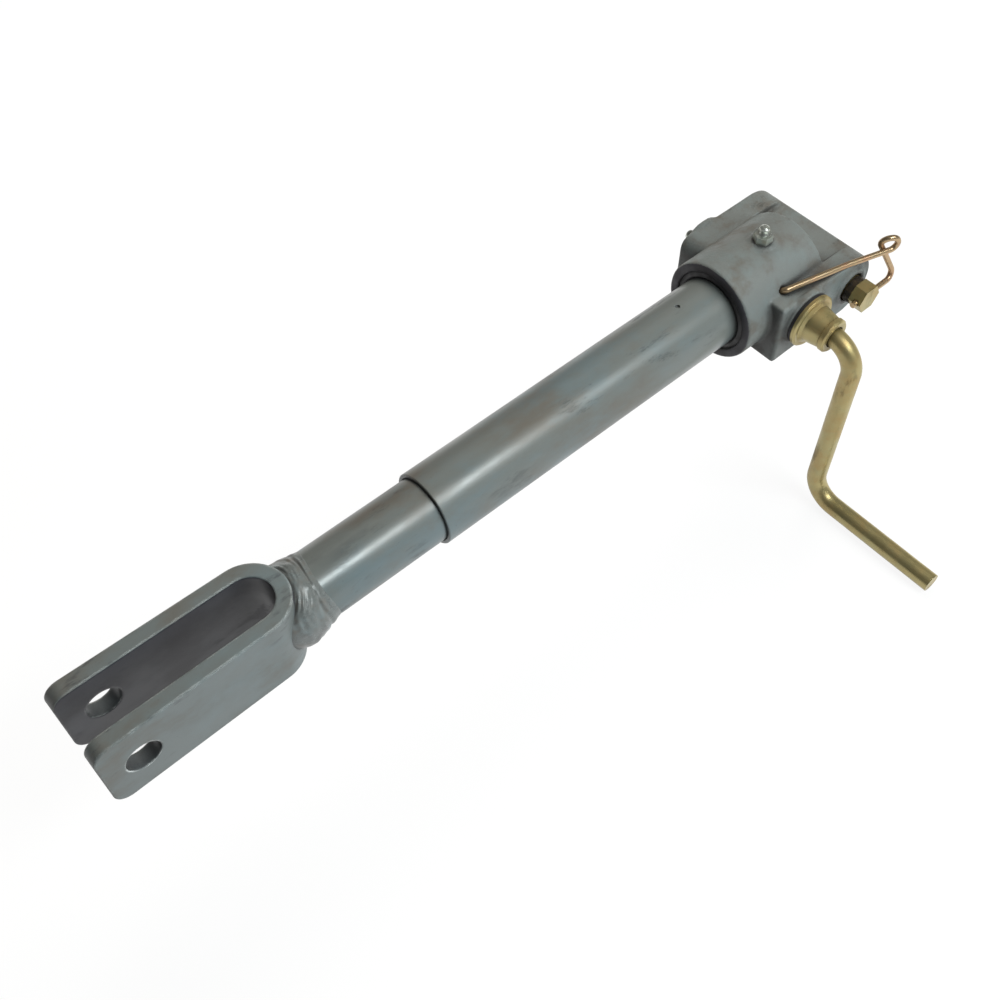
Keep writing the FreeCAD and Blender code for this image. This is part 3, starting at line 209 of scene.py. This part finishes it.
def buildScuffs():
    # short dark marks along one direction
    group, enter, leave = newGroup(
        "scuffs",
        [("Scale", "NodeSocketFloat", 60.0), ("Stretch", "NodeSocketVector", (0.25, 1.0, 1.0)),
         ("Amount", "NodeSocketFloat", 0.5)],
        [("Mask", "NodeSocketFloat")])
    place = addNode(group, "ShaderNodeTexCoord").outputs["Object"]
    scaled = addNode(group, "ShaderNodeVectorMath", {0: place, 1: enter.outputs["Stretch"]},
                     operation="MULTIPLY").outputs[0]
    marks = addNode(group, "ShaderNodeTexNoise", {"Vector": scaled, "Scale": enter.outputs["Scale"],
                                                  "Detail": 8.0, "Roughness": 0.72})
    where = addNode(group, "ShaderNodeTexNoise", {"Vector": place, "Scale": 18.0, "Detail": 2.0})
    mask = mathOf(group, "MULTIPLY", rampOf(group, marks.outputs["Fac"], 0.55, 0.64),
                  rampOf(group, where.outputs["Fac"], 0.40, 0.58))
    group.links.new(mathOf(group, "MULTIPLY", mask, enter.outputs["Amount"]), leave.inputs["Mask"])
    return group


def buildCornerShade():
    # painted shade: a mask from ambient occlusion, darker in corners and hollows where shade falls
    group, enter, leave = newGroup(
        "cornerShade",
        [("Reach", "NodeSocketFloat", 8.0 * mm), ("Amount", "NodeSocketFloat", 0.6)],
        [("Mask", "NodeSocketFloat")])
    shade = addNode(group, "ShaderNodeAmbientOcclusion", {"Distance": enter.outputs["Reach"]},
                    samples=6)
    hidden = mathOf(group, "SUBTRACT", 1.0, shade.outputs["AO"])
    group.links.new(mathOf(group, "MULTIPLY", rampOf(group, hidden, 0.10, 0.45),
                           enter.outputs["Amount"]), leave.inputs["Mask"])
    return group


def buildBetween():
    # mask on upright faces nearer to the middle plane than a distance, back to a bend, where painted
    # shade goes on the slot's inner faces
    group, enter, leave = newGroup(
        "between",
        [("Limit", "NodeSocketFloat", 14.0 * mm), ("Bend", "NodeSocketFloat", -0.4),
         ("Amount", "NodeSocketFloat", 0.85)],
        [("Mask", "NodeSocketFloat")])
    place = addNode(group, "ShaderNodeTexCoord").outputs["Object"]
    apart = addNode(group, "ShaderNodeSeparateXYZ", {"Vector": place})
    facing = addNode(group, "ShaderNodeNewGeometry").outputs["Normal"]
    tilt = addNode(group, "ShaderNodeSeparateXYZ", {"Vector": facing})
    across = mathOf(group, "ABSOLUTE", apart.outputs["Y"], 0.0)
    inside = mathOf(group, "LESS_THAN", across, enter.outputs["Limit"])
    before = mathOf(group, "LESS_THAN", apart.outputs["X"], enter.outputs["Bend"])
    upright = mathOf(group, "LESS_THAN", mathOf(group, "ABSOLUTE", tilt.outputs["Z"], 0.0), 0.5)
    both = mathOf(group, "MULTIPLY", mathOf(group, "MULTIPLY", inside, before), upright)
    group.links.new(mathOf(group, "MULTIPLY", both, enter.outputs["Amount"]),
                    leave.inputs["Mask"])
    return group


mottleGroup = buildMottle()
edgeGroup = buildEdgeWear()
grainGroup = buildGrain()
scuffGroup = buildScuffs()
cornerShadeGroup = buildCornerShade()
betweenGroup = buildBetween()
print("node groups built")


def groupNode(tree, group, **values):
    return addNode(tree, "ShaderNodeGroup", values, node_tree=group)


def finishMetal(name, look):
    # one recipe for every metal skin, with its own values
    material = bpy.data.materials.new(name)
    material.use_nodes = True
    tree = material.node_tree
    principled = tree.nodes["Principled BSDF"]
    principled.inputs["Metallic"].default_value = look["metallic"]
    principled.inputs["Specular IOR Level"].default_value = look.get("specular", 0.5)
    mottle = groupNode(tree, mottleGroup, Base=colour(*look["base"]), Warm=colour(*look["warm"]),
                       Cool=colour(*look["cool"]), Scale=look["scale"],
                       Stretch=look.get("stretch", (1, 1, 1)), Warmth=look.get("warmth", 0.6),
                       Coolness=look.get("coolness", 0.5))
    grain = groupNode(tree, grainGroup, Fine=look["fine"], Broad=look["broad"],
                      Stretch=look.get("grainStretch", (1, 1, 1)), Mix=look.get("grainMix", 0.4))
    edge = groupNode(tree, edgeGroup, Radius=look["edge"])
    scuff = groupNode(tree, scuffGroup, Scale=look.get("scuffScale", 60.0),
                      Stretch=look.get("scuffStretch", (0.25, 1, 1)), Amount=look.get("scuffs", 0.4))
    tint = mixColour(tree, scuff.outputs["Mask"], mottle.outputs["Color"], colour(*look["dark"]))
    pitted = mathOf(tree, "MULTIPLY", grain.outputs["Pits"], look.get("pits", 0.35))
    tint = mixColour(tree, pitted, tint, colour(*look["dark"]))
    worn = mathOf(tree, "MULTIPLY", edge.outputs["Mask"], look["wear"])
    tint = mixColour(tree, worn, tint, colour(*look["bare"]))
    # painted shade: the upright faces inside the fork's slot are darkened
    if "inside" in look:
        between = groupNode(tree, betweenGroup, Limit=look["inside"], Bend=look["bend"])
        tint = mixColour(tree, between.outputs["Mask"], tint, colour(*look["insideColour"]))
    # painted shade: the occlusion mask darkens corners and hollows towards the dark colour
    if look.get("paintedShade", 0.0) > 0:
        cornerShade = groupNode(tree, cornerShadeGroup, Amount=look["paintedShade"],
                            Reach=look.get("paintedShadeReach", 8.0) * mm)
        tint = mixColour(tree, cornerShade.outputs["Mask"], tint, colour(*look["dark"]))
    tree.links.new(tint, principled.inputs["Base Color"])
    rough = rampOf(tree, mottle.outputs["Mask"], 0.35, 0.65, look["rough"][0], look["rough"][1])
    rough = mathOf(tree, "ADD", rough, mathOf(tree, "MULTIPLY", scuff.outputs["Mask"], 0.2))
    tree.links.new(rough, principled.inputs["Roughness"])
    bump = addNode(tree, "ShaderNodeBump", {"Height": grain.outputs["Height"],
                                            "Normal": edge.outputs["Normal"],
                                            "Strength": look["bump"],
                                            "Distance": look.get("bumpDepth", 0.2) * mm})
    tree.links.new(bump.outputs["Normal"], principled.inputs["Normal"])
    return material


# Finishes

# the occlusion amount and reach in these finishes set how much painted shade darkens their corners
# and hollows
castPaint = finishMetal("castPaint", {
    "metallic": 0.0, "base": (0.121, 0.130, 0.124), "warm": (0.090, 0.079, 0.065),
    "cool": (0.124, 0.153, 0.153), "dark": (0.030, 0.028, 0.026), "bare": (0.22, 0.23, 0.23),
    "scale": 55.0, "fine": 900.0, "broad": 240.0, "edge": 0.9 * mm, "wear": 0.35,
    "rough": (0.42, 0.58), "bump": 0.8, "bumpDepth": 0.5, "scuffs": 0.6, "paintedShade": 0.85,
    "paintedShadeReach": 16.0, "warmth": 0.8, "scuffStretch": (0.6, 1, 1)})
# painted shade: near-black colour for the barrel's front ring face, which faces away from the light
ringShadePaint = finishMetal("ringShadePaint", {
    "metallic": 0.0, "base": (0.040, 0.037, 0.045), "warm": (0.050, 0.042, 0.040),
    "cool": (0.036, 0.036, 0.048), "dark": (0.012, 0.012, 0.014), "bare": (0.09, 0.09, 0.10),
    "scale": 60.0, "fine": 1000.0, "broad": 260.0, "edge": 0.6 * mm, "wear": 0.4,
    "rough": (0.5, 0.65), "bump": 0.4, "bumpDepth": 0.3, "scuffs": 0.4})
tubePaint = finishMetal("tubePaint", {
    "metallic": 0.12, "base": (0.120, 0.131, 0.124), "warm": (0.105, 0.092, 0.074),
    "cool": (0.106, 0.152, 0.168), "dark": (0.035, 0.038, 0.038), "bare": (0.33, 0.34, 0.34),
    "scale": 26.0, "stretch": (0.45, 1, 1), "fine": 900.0, "broad": 90.0, "edge": 0.5 * mm,
    "wear": 0.6, "rough": (0.28, 0.42), "bump": 0.1, "bumpDepth": 0.15, "specular": 0.75,
    "grainStretch": (0.5, 1, 1), "scuffs": 0.65, "warmth": 0.8, "coolness": 0.6, "paintedShade": 0.3})
# the near-white edge colour is partly worn bare metal and partly a painted highlight along the
# arrises
forkPaint = finishMetal("forkPaint", {
    "metallic": 0.1, "base": (0.126, 0.142, 0.140), "warm": (0.112, 0.098, 0.080),
    "cool": (0.136, 0.176, 0.184), "dark": (0.018, 0.016, 0.022), "bare": (0.80, 0.82, 0.80),
    "scale": 34.0, "stretch": (0.6, 1, 1), "fine": 900.0, "broad": 110.0, "edge": 1.9 * mm,
    "wear": 1.0, "rough": (0.34, 0.48), "bump": 0.2, "scuffs": 0.5, "specular": 0.6,
    "warmth": 0.6, "paintedShade": 0.8, "paintedShadeReach": 24.0, "inside": 14.0 * mm,
    "bend": -388.5 * mm, "insideColour": (0.018, 0.015, 0.023)})
weldPaint = finishMetal("weldPaint", {
    "metallic": 0.15, "base": (0.118, 0.128, 0.124), "warm": (0.112, 0.080, 0.055),
    "cool": (0.140, 0.175, 0.180), "dark": (0.030, 0.025, 0.022), "bare": (0.38, 0.39, 0.38),
    "scale": 110.0, "fine": 700.0, "broad": 200.0, "edge": 0.7 * mm, "wear": 0.5,
    "rough": (0.24, 0.40), "bump": 0.4, "bumpDepth": 0.3, "scuffs": 0.5,
    "scuffStretch": (1, 1, 1), "warmth": 0.4, "specular": 0.7, "paintedShade": 0.55, "paintedShadeReach": 4.0})
yellowZinc = finishMetal("yellowZinc", {
    "metallic": 0.75, "base": (0.43, 0.355, 0.165), "warm": (0.44, 0.31, 0.13),
    "cool": (0.38, 0.36, 0.19), "dark": (0.075, 0.055, 0.025), "bare": (0.55, 0.50, 0.36),
    "scale": 70.0, "fine": 1200.0, "broad": 150.0, "edge": 0.5 * mm, "wear": 0.3,
    "rough": (0.32, 0.46), "bump": 0.12, "scuffs": 0.45, "scuffStretch": (1, 1, 0.3),
    "warmth": 0.7, "paintedShade": 0.7, "paintedShadeReach": 6.0})
copperWire = finishMetal("copperWire", {
    "metallic": 0.85, "base": (0.50, 0.36, 0.21), "warm": (0.52, 0.29, 0.17),
    "cool": (0.46, 0.38, 0.25), "dark": (0.13, 0.08, 0.045), "bare": (0.6, 0.5, 0.38),
    "scale": 120.0, "fine": 1500.0, "broad": 200.0, "edge": 0.0, "wear": 0.0,
    "rough": (0.30, 0.36), "bump": 0.0, "scuffs": 0.2, "warmth": 0.8, "pits": 0.0})
brightZinc = finishMetal("brightZinc", {
    "metallic": 0.85, "base": (0.60, 0.63, 0.57), "warm": (0.50, 0.48, 0.36),
    "cool": (0.56, 0.62, 0.62), "dark": (0.10, 0.10, 0.085), "bare": (0.85, 0.85, 0.85),
    "scale": 200.0, "fine": 1500.0, "broad": 300.0, "edge": 0.3 * mm, "wear": 0.3,
    "rough": (0.26, 0.4), "bump": 0.0, "scuffs": 0.2, "paintedShade": 0.6, "paintedShadeReach": 2.5})
darkNeck = finishMetal("darkNeck", {
    "metallic": 0.4, "base": (0.035, 0.028, 0.022), "warm": (0.090, 0.060, 0.030),
    "cool": (0.025, 0.024, 0.024), "dark": (0.010, 0.009, 0.008), "bare": (0.30, 0.25, 0.16),
    "scale": 300.0, "fine": 900.0, "broad": 300.0, "edge": 0.5 * mm, "wear": 0.5,
    "rough": (0.2, 0.4), "bump": 0.4, "bumpDepth": 0.3, "scuffs": 0.4, "scuffStretch": (1, 1, 1)})
machinedSteel = finishMetal("machinedSteel", {
    "metallic": 0.9, "base": (0.40, 0.40, 0.40), "warm": (0.36, 0.32, 0.26),
    "cool": (0.40, 0.42, 0.44), "dark": (0.08, 0.08, 0.08), "bare": (0.6, 0.6, 0.6),
    "scale": 80.0, "fine": 1400.0, "broad": 240.0, "edge": 0.3 * mm, "wear": 0.4,
    "rough": (0.28, 0.4), "bump": 0.08, "scuffs": 0.3})
oiledBronze = finishMetal("oiledBronze", {
    "metallic": 0.9, "base": (0.50, 0.33, 0.15), "warm": (0.45, 0.26, 0.12),
    "cool": (0.46, 0.36, 0.20), "dark": (0.1, 0.07, 0.04), "bare": (0.7, 0.5, 0.28),
    "scale": 90.0, "fine": 1400.0, "broad": 240.0, "edge": 0.3 * mm, "wear": 0.3,
    "rough": (0.3, 0.42), "bump": 0.06, "scuffs": 0.2})
blackRubber = finishMetal("blackRubber", {
    "metallic": 0.0, "base": (0.020, 0.019, 0.020), "warm": (0.030, 0.026, 0.022),
    "cool": (0.018, 0.019, 0.024), "dark": (0.008, 0.008, 0.008), "bare": (0.06, 0.06, 0.06),
    "scale": 160.0, "fine": 1500.0, "broad": 400.0, "edge": 0.3 * mm, "wear": 0.3,
    "rough": (0.5, 0.65), "bump": 0.15, "scuffs": 0.2})

slotFinish = {
    "grey_paint": castPaint, "black_rubber": blackRubber, "plain_steel": machinedSteel,
    "bearing_bronze": oiledBronze, "spring_steel": machinedSteel, "bearing_steel": machinedSteel,
    "gear_steel": machinedSteel, "yellow_zinc": yellowZinc, "copper_wire": copperWire,
    "bright_zinc": brightZinc}
ownFinish = {"outer_tube": tubePaint, "inner_tube": tubePaint, "lower_fork": forkPaint,
             "fork_weld": weldPaint}


def dressNodes():
    for part in frame["record"]["subparts"]:
        thing = nodes[part["node"]]
        finish = ownFinish.get(part["node"], slotFinish[part["material_slot"]])
        if not thing.material_slots:
            thing.data.materials.append(finish)
        for place in thing.material_slots:
            place.material = finish


dressNodes()
print("finishes on")


# Mesh helpers

def linked(name, mesh, finishes):
    thing = bpy.data.objects.new(name, mesh)
    bpy.context.scene.collection.objects.link(thing)
    for finish in finishes:
        mesh.materials.append(finish)
    return thing


def bakeModifiers(thing):
    # keeps the result of the modifiers as the mesh itself
    view = bpy.context.evaluated_depsgraph_get()
    view.update()
    mesh = bpy.data.meshes.new_from_object(thing.evaluated_get(view))
    thing.modifiers.clear()
    thing.data = mesh
    return mesh


def shadeSmooth(mesh):
    for face in mesh.polygons:
        face.use_smooth = True


def ringSkin(name, rings):
    # an open round skin over rows of points
    mesh = bpy.data.meshes.new(name)
    shape = bmesh.new()
    rows = [[shape.verts.new(point) for point in ring] for ring in rings]
    for first, second in zip(rows, rows[1:]):
        for col in range(len(first)):
            follow = (col + 1) % len(first)
            shape.faces.new((first[col], second[col], second[follow], first[follow]))
    bmesh.ops.recalc_face_normals(shape, faces=shape.faces)
    shape.to_mesh(mesh)
    shape.free()
    shadeSmooth(mesh)
    return mesh


def lumpyNoise(point, scale, seed):
    return noise.noise(point * scale + Vector((seed, 2.3 * seed, -seed)))


# Gear housing: one casting with soft corners, the far back corner well rounded

housingSettings = {"voxel": 0.85 * mm, "passes": 5, "farRound": 11 * mm, "farStart": 24 * mm,
                   "backX": -67.1 * mm, "topZ": 22.2 * mm,
                   "barrelRadius": 32.5 * mm, "barrelFront": -86.5 * mm, "shell": 0.3 * mm,
                   "wave": 0.12 * mm, "waveScale": 90.0, "ringDepth": 0.7 * mm}
keptRound = [("Y", (crankX, rodUp), 15.4 * mm), ("Y", (0, 0), 10.6 * mm),
             ("X", (0, rodUp), 27.2 * mm)]


def nearBore(point):
    for axis, middle, radius in keptRound:
        across = point.x if axis == "Y" else point.y
        if math.hypot(across - middle[0], point.z - middle[1]) < radius:
            return True
    return False


def roundFarCorner(mesh, settings):
    # brings the far back top edge in to a quarter round and leaves the barrel whole
    radius = settings["farRound"]
    middleX = settings["backX"] + radius
    middleZ = settings["topZ"] - radius
    barrel = settings["barrelRadius"] + settings["shell"]
    for point in mesh.vertices:
        x, y, z = point.co
        if y < settings["farStart"] or x > middleX or z < middleZ:
            continue
        reach = math.hypot(x - middleX, z - middleZ)
        if reach > radius and math.hypot(y, z - rodUp) > barrel:
            point.co.x = middleX + (x - middleX) * radius / reach
            point.co.z = middleZ + (z - middleZ) * radius / reach


def makeHousing(settings):
    source = nodes["gear_housing"]
    casting = linked("castHousing", source.data.copy(), [])
    casting.matrix_world = source.matrix_world.copy()
    skin = casting.modifiers.new("skin", "REMESH")
    skin.mode = "VOXEL"
    skin.voxel_size = settings["voxel"]
    mesh = bakeModifiers(casting)
    roundFarCorner(mesh, settings)
    soft = casting.vertex_groups.new(name="soft")
    outside = [point.index for point in mesh.vertices if not nearBore(point.co)]
    soft.add(outside, 1.0, "REPLACE")
    smooth = casting.modifiers.new("smooth", "SMOOTH")
    smooth.iterations = settings["passes"]
    smooth.factor = 0.5
    smooth.vertex_group = "soft"
    mesh = bakeModifiers(casting)
    normals = [Vector(normal.vector) for normal in mesh.vertex_normals]
    for number in outside:
        point = mesh.vertices[number]
        swell = lumpyNoise(point.co, settings["waveScale"], 4.0) * settings["wave"]
        point.co += normals[number] * swell
    mesh.materials.clear()
    mesh.materials.append(castPaint)
    mesh.materials.append(ringShadePaint)
    # painted shade: faces at the barrel's front ring take the dark ring material
    for face in mesh.polygons:
        inFront = face.center.x < settings["barrelFront"] + settings["ringDepth"]
        face.material_index = 1 if inFront else 0
    shadeSmooth(mesh)
    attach(casting, "housing")
    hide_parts("gear_housing")
    print("housing cast,", len(mesh.polygons), "faces")


makeHousing(housingSettings)


# Weld between the fork and the inner tube: a lumpy bead with a seam round its toe

weldSettings = {"bendX": -416.8 * mm, "bendRadius": 21.8 * mm, "tubeRadius": 19.65 * mm,
                "rootRise": 3.7 * mm, "riseSwing": 1.1 * mm, "sideRoot": 7.5 * mm,
                "toe": 36.5 * mm, "toeSway": 2.2 * mm, "toeSink": 0.35 * mm, "sink": 2.5 * mm,
                "around": 180, "along": 44, "crownAt": 0.34, "seamAt": 0.76, "seamWidth": 0.035,
                "seamDepth": 0.75 * mm, "lump": 0.60 * mm, "lumpScale": 160.0,
                "ripple": 0.36 * mm, "rippleScale": 90.0, "ripples": 44, "noiseRing": 0.02}


def weldPoint(settings, turn, step):
    # one point of the bead: turn goes round the tube, step goes from fork to toe
    rise = settings["rootRise"] - settings["riseSwing"] * math.cos(turn - math.pi / 4)
    crown = settings["crownAt"]
    if step < crown:
        height = rise * (0.1 + 0.9 * math.sin(math.pi / 2 * step / crown) ** 0.8)
    else:
        height = rise * math.cos(math.pi / 2 * (step - crown) / (1 - crown)) ** 1.15
    seam = math.exp(-((step - settings["seamAt"]) / settings["seamWidth"]) ** 2)
    height -= settings["seamDepth"] * seam
    rootRadius = settings["tubeRadius"] + rise
    across = min(abs(rootRadius * math.cos(turn)), settings["bendRadius"])
    bend = math.sqrt(settings["bendRadius"] ** 2 - across ** 2)
    rootX = settings["bendX"] + max(bend - settings["sink"], settings["sideRoot"])
    toeX = settings["bendX"] + settings["toe"] + settings["toeSway"] * math.sin(turn * 2 + 0.6)
    along = rootX + (toeX - rootX) * step
    ring = settings["noiseRing"]
    place = Vector((along, ring * math.cos(turn), ring * math.sin(turn)))
    fade = math.sin(math.pi * min(1.0, 0.25 + step * 0.75)) ** 0.5
    height += settings["lump"] * lumpyNoise(place, settings["lumpScale"], 7.0) * fade
    wave = math.sin(step * settings["ripples"] + 3.0 * math.sin(turn * 3) + turn * 4)
    patchy = lumpyNoise(place, settings["rippleScale"], 11.0)
    height += settings["ripple"] * wave * patchy * fade * 2
    radius = settings["tubeRadius"] + height
    if step == 1:
        radius = settings["tubeRadius"] - settings["toeSink"]
    return Vector((along, radius * math.cos(turn), rodUp + radius * math.sin(turn)))


def makeWeld(settings):
    rings = []
    for row in range(settings["along"] + 1):
        step = row / settings["along"]
        rings.append([weldPoint(settings, 2 * math.pi * col / settings["around"], step)
                      for col in range(settings["around"])])
    bead = linked("weldBead", ringSkin("weldBead", rings), [weldPaint])
    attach(bead, "fork")
    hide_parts("fork_weld")
    print("weld laid")


makeWeld(weldSettings)


# Wire clip: a leg through the pin, an eye, and a leg over to the housing

clipSettings = {"wire": 1.9 * mm, "out": -51.8 * mm, "top": 24.6 * mm, "eye": 4.7 * mm,
                "drift": 5 * mm, "eyeCorners": 5, "eyeEnter": 205, "eyeRise": 5,
                "legStart": (16.6 * mm, -47.9 * mm), "knee": (-10 * mm, -39.9 * mm),
                "tip": (-54.6 * mm, -29.5 * mm), "tipLength": 4 * mm, "legEnd": -12 * mm,
                "legReach": 28.6 * mm, "legBend": 5 * mm, "kneeBend": 150 * mm,
                "tipBend": 2.2 * mm, "eyeShare": 0.93, "arcSteps": 14}


def clipCorners(settings):
    top = settings["top"]
    start = Vector((*settings["legStart"], top))
    knee = Vector((*settings["knee"], top))
    tip = Vector((*settings["tip"], top))
    heading = (start - knee).normalized()
    upward = Vector((0, 0, 1))
    across = upward.cross(heading)
    eyeUp = (upward * settings["eyeRise"] - across).normalized()
    middle = start + heading * settings["wire"] + eyeUp * settings["eye"]
    sweep = (settings["eyeEnter"] + 90) / settings["eyeCorners"]
    reach = settings["eye"] / math.cos(math.radians(sweep / 2))
    corners = [Vector((settings["legEnd"], settings["out"], 0)),
               Vector((settings["legReach"], settings["out"], 0))]
    for number in range(settings["eyeCorners"]):
        angle = math.radians(settings["eyeEnter"] - sweep * (number + 0.5))
        drift = settings["drift"] * (1 - number / (settings["eyeCorners"] - 1)) ** 1.5
        corners.append(middle + heading * reach * math.cos(angle)
                       + eyeUp * reach * math.sin(angle) + across * drift)
    hinge = Vector((tip.x, settings["out"], 0))
    outward = Vector((1, 0, 0)).cross(tip - hinge).normalized()
    return corners + [knee, tip, tip - outward * settings["tipLength"]]


def roundedPath(corners, bends, steps):
    # straight runs with an arc at each corner between them
    path = [corners[0]]
    for number in range(1, len(corners) - 1):
        corner = corners[number]
        radius = bends[number - 1]
        inward = (corners[number - 1] - corner).normalized()
        onward = (corners[number + 1] - corner).normalized()
        half = inward.angle(onward) / 2
        middle = corner + (inward + onward).normalized() * (radius / math.sin(half))
        first = corner + inward * (radius / math.tan(half)) - middle
        final = corner + onward * (radius / math.tan(half)) - middle
        for step in range(steps + 1):
            path.append(middle + first.slerp(final, step / steps).normalized() * radius)
    path.append(corners[-1])
    return path


def makeClip(settings):
    eyeBend = settings["eyeShare"] * settings["eye"]
    bends = ([settings["legBend"]] + [eyeBend] * settings["eyeCorners"]
             + [settings["kneeBend"], settings["tipBend"]])
    path = roundedPath(clipCorners(settings), bends, settings["arcSteps"])
    curve = bpy.data.curves.new("clipPath", "CURVE")
    curve.dimensions = "3D"
    curve.bevel_depth = settings["wire"]
    curve.bevel_resolution = 6
    curve.use_fill_caps = True
    spline = curve.splines.new("POLY")
    spline.points.add(len(path) - 1)
    for place, point in zip(spline.points, path):
        place.co = (*point, 1.0)
    thing = linked("clipPath", curve, [])
    view = bpy.context.evaluated_depsgraph_get()
    mesh = bpy.data.meshes.new_from_object(thing.evaluated_get(view))
    bpy.data.objects.remove(thing)
    shadeSmooth(mesh)
    clip = linked("clipWire", mesh, [copperWire])
    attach(clip, "clip")
    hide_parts("wire_clip")
    print("clip bent")


makeClip(clipSettings)


# Dark lumpy neck of the upper pin, between the housing and the six-sided end

neckSettings = {"start": -41.7 * mm, "end": -46.4 * mm, "radius": 8.75 * mm, "lump": 0.35 * mm,
                "lumpScale": 3.0, "around": 72, "along": 12}


def makeNeck(settings):
    rings = []
    for row in range(settings["along"] + 1):
        y = settings["start"] + (settings["end"] - settings["start"]) * row / settings["along"]
        ring = []
        for col in range(settings["around"]):
            turn = 2 * math.pi * col / settings["around"]
            spot = Vector((math.cos(turn), y * 100, math.sin(turn)))
            lump = settings["lump"] * lumpyNoise(spot, settings["lumpScale"], 5.0)
            radius = settings["radius"] + lump
            ring.append((radius * math.cos(turn), y, radius * math.sin(turn)))
        rings.append(ring)
    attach(linked("pinNeck", ringSkin("pinNeck", rings), [darkNeck]), "housing")
    print("pin neck on")


makeNeck(neckSettings)


# Floor, backdrop and lights

stageSettings = {"floorZ": -0.1372, "floorSize": 12.0, "whiteShare": 0.90, "paper": 0.18,
                 "worldTint": (0.95, 0.97, 1.0), "worldStrength": 0.07}
lampSettings = {
    "overhead": {"spot": (0.55, 0.75, 1.30), "aim": (-0.2, 0.0, 0.0), "size": (1.2, 1.2),
                 "power": 36.0, "tint": (1.0, 0.95, 0.88), "glossy": False},
    "front": {"spot": (0.50, -1.55, 0.40), "aim": (-0.2, 0.0, 0.0), "size": (1.2, 0.9),
              "power": 33.0, "tint": (0.90, 0.98, 1.0), "glossy": False},
    "window": {"spot": (0.05, -0.66, 0.94), "aim": (-0.10, 0.0, 0.0), "size": (0.60, 0.22),
               "power": 8.0, "tint": (0.93, 0.99, 1.0), "glossy": True},
}


def makeFloor(settings):
    size = settings["floorSize"]
    mesh = bpy.data.meshes.new("studioFloor")
    corners = [(x * size, y * size, settings["floorZ"]) for x, y in
               ((-1, -1), (1, -1), (1, 1), (-1, 1))]
    mesh.from_pydata(corners, [], [(0, 1, 2, 3)])
    material = bpy.data.materials.new("studioWhite")
    material.use_nodes = True
    tree = material.node_tree
    tree.nodes.clear()
    output = tree.nodes.new("ShaderNodeOutputMaterial")
    paper = addNode(tree, "ShaderNodeBsdfDiffuse", {"Color": colour(*[settings["paper"]] * 3)})
    bright = addNode(tree, "ShaderNodeBsdfDiffuse", {"Color": colour(0.9, 0.9, 0.9)})
    glow = addNode(tree, "ShaderNodeEmission", {"Color": colour(1, 1, 1), "Strength": 1.0})
    rays = tree.nodes.new("ShaderNodeLightPath")
    seen = mathOf(tree, "MAXIMUM", rays.outputs["Is Camera Ray"], rays.outputs["Is Glossy Ray"])
    seen = mathOf(tree, "MAXIMUM", seen, rays.outputs["Is Transmission Ray"])
    lit = addNode(tree, "ShaderNodeMixShader", {0: settings["whiteShare"], 1: bright.outputs[0],
                                                2: glow.outputs[0]})
    mix = addNode(tree, "ShaderNodeMixShader", {0: seen, 1: paper.outputs[0], 2: lit.outputs[0]})
    tree.links.new(mix.outputs[0], output.inputs["Surface"])
    linked("studioFloor", mesh, [material])


def makeWorld(settings):
    world = bpy.data.worlds.new("studio")
    bpy.context.scene.world = world
    world.use_nodes = True
    tree = world.node_tree
    tree.nodes.clear()
    output = tree.nodes.new("ShaderNodeOutputWorld")
    rays = tree.nodes.new("ShaderNodeLightPath")
    soft = addNode(tree, "ShaderNodeBackground", {"Color": colour(*settings["worldTint"]),
                                                  "Strength": settings["worldStrength"]})
    white = addNode(tree, "ShaderNodeBackground", {"Color": colour(1, 1, 1), "Strength": 1.0})
    mix = addNode(tree, "ShaderNodeMixShader", {0: rays.outputs["Is Camera Ray"],
                                                1: soft.outputs[0], 2: white.outputs[0]})
    tree.links.new(mix.outputs[0], output.inputs["Surface"])


def makeLamps(settings):
    for name, lamp in settings.items():
        light = bpy.data.lights.new(name, "AREA")
        light.shape = "RECTANGLE"
        light.size, light.size_y = lamp["size"]
        light.energy = lamp["power"]
        light.color = lamp["tint"]
        thing = bpy.data.objects.new(name, light)
        aim = Vector(lamp["spot"]) - Vector(lamp["aim"])
        thing.rotation_mode = "QUATERNION"
        thing.rotation_quaternion = aim.to_track_quat("Z", "Y")
        thing.location = lamp["spot"]
        thing.visible_glossy = lamp["glossy"]
        bpy.context.scene.collection.objects.link(thing)


makeFloor(stageSettings)
makeWorld(stageSettings)
makeLamps(lampSettings)
bpy.context.scene.view_settings.view_transform = "Standard"
print("stage set")
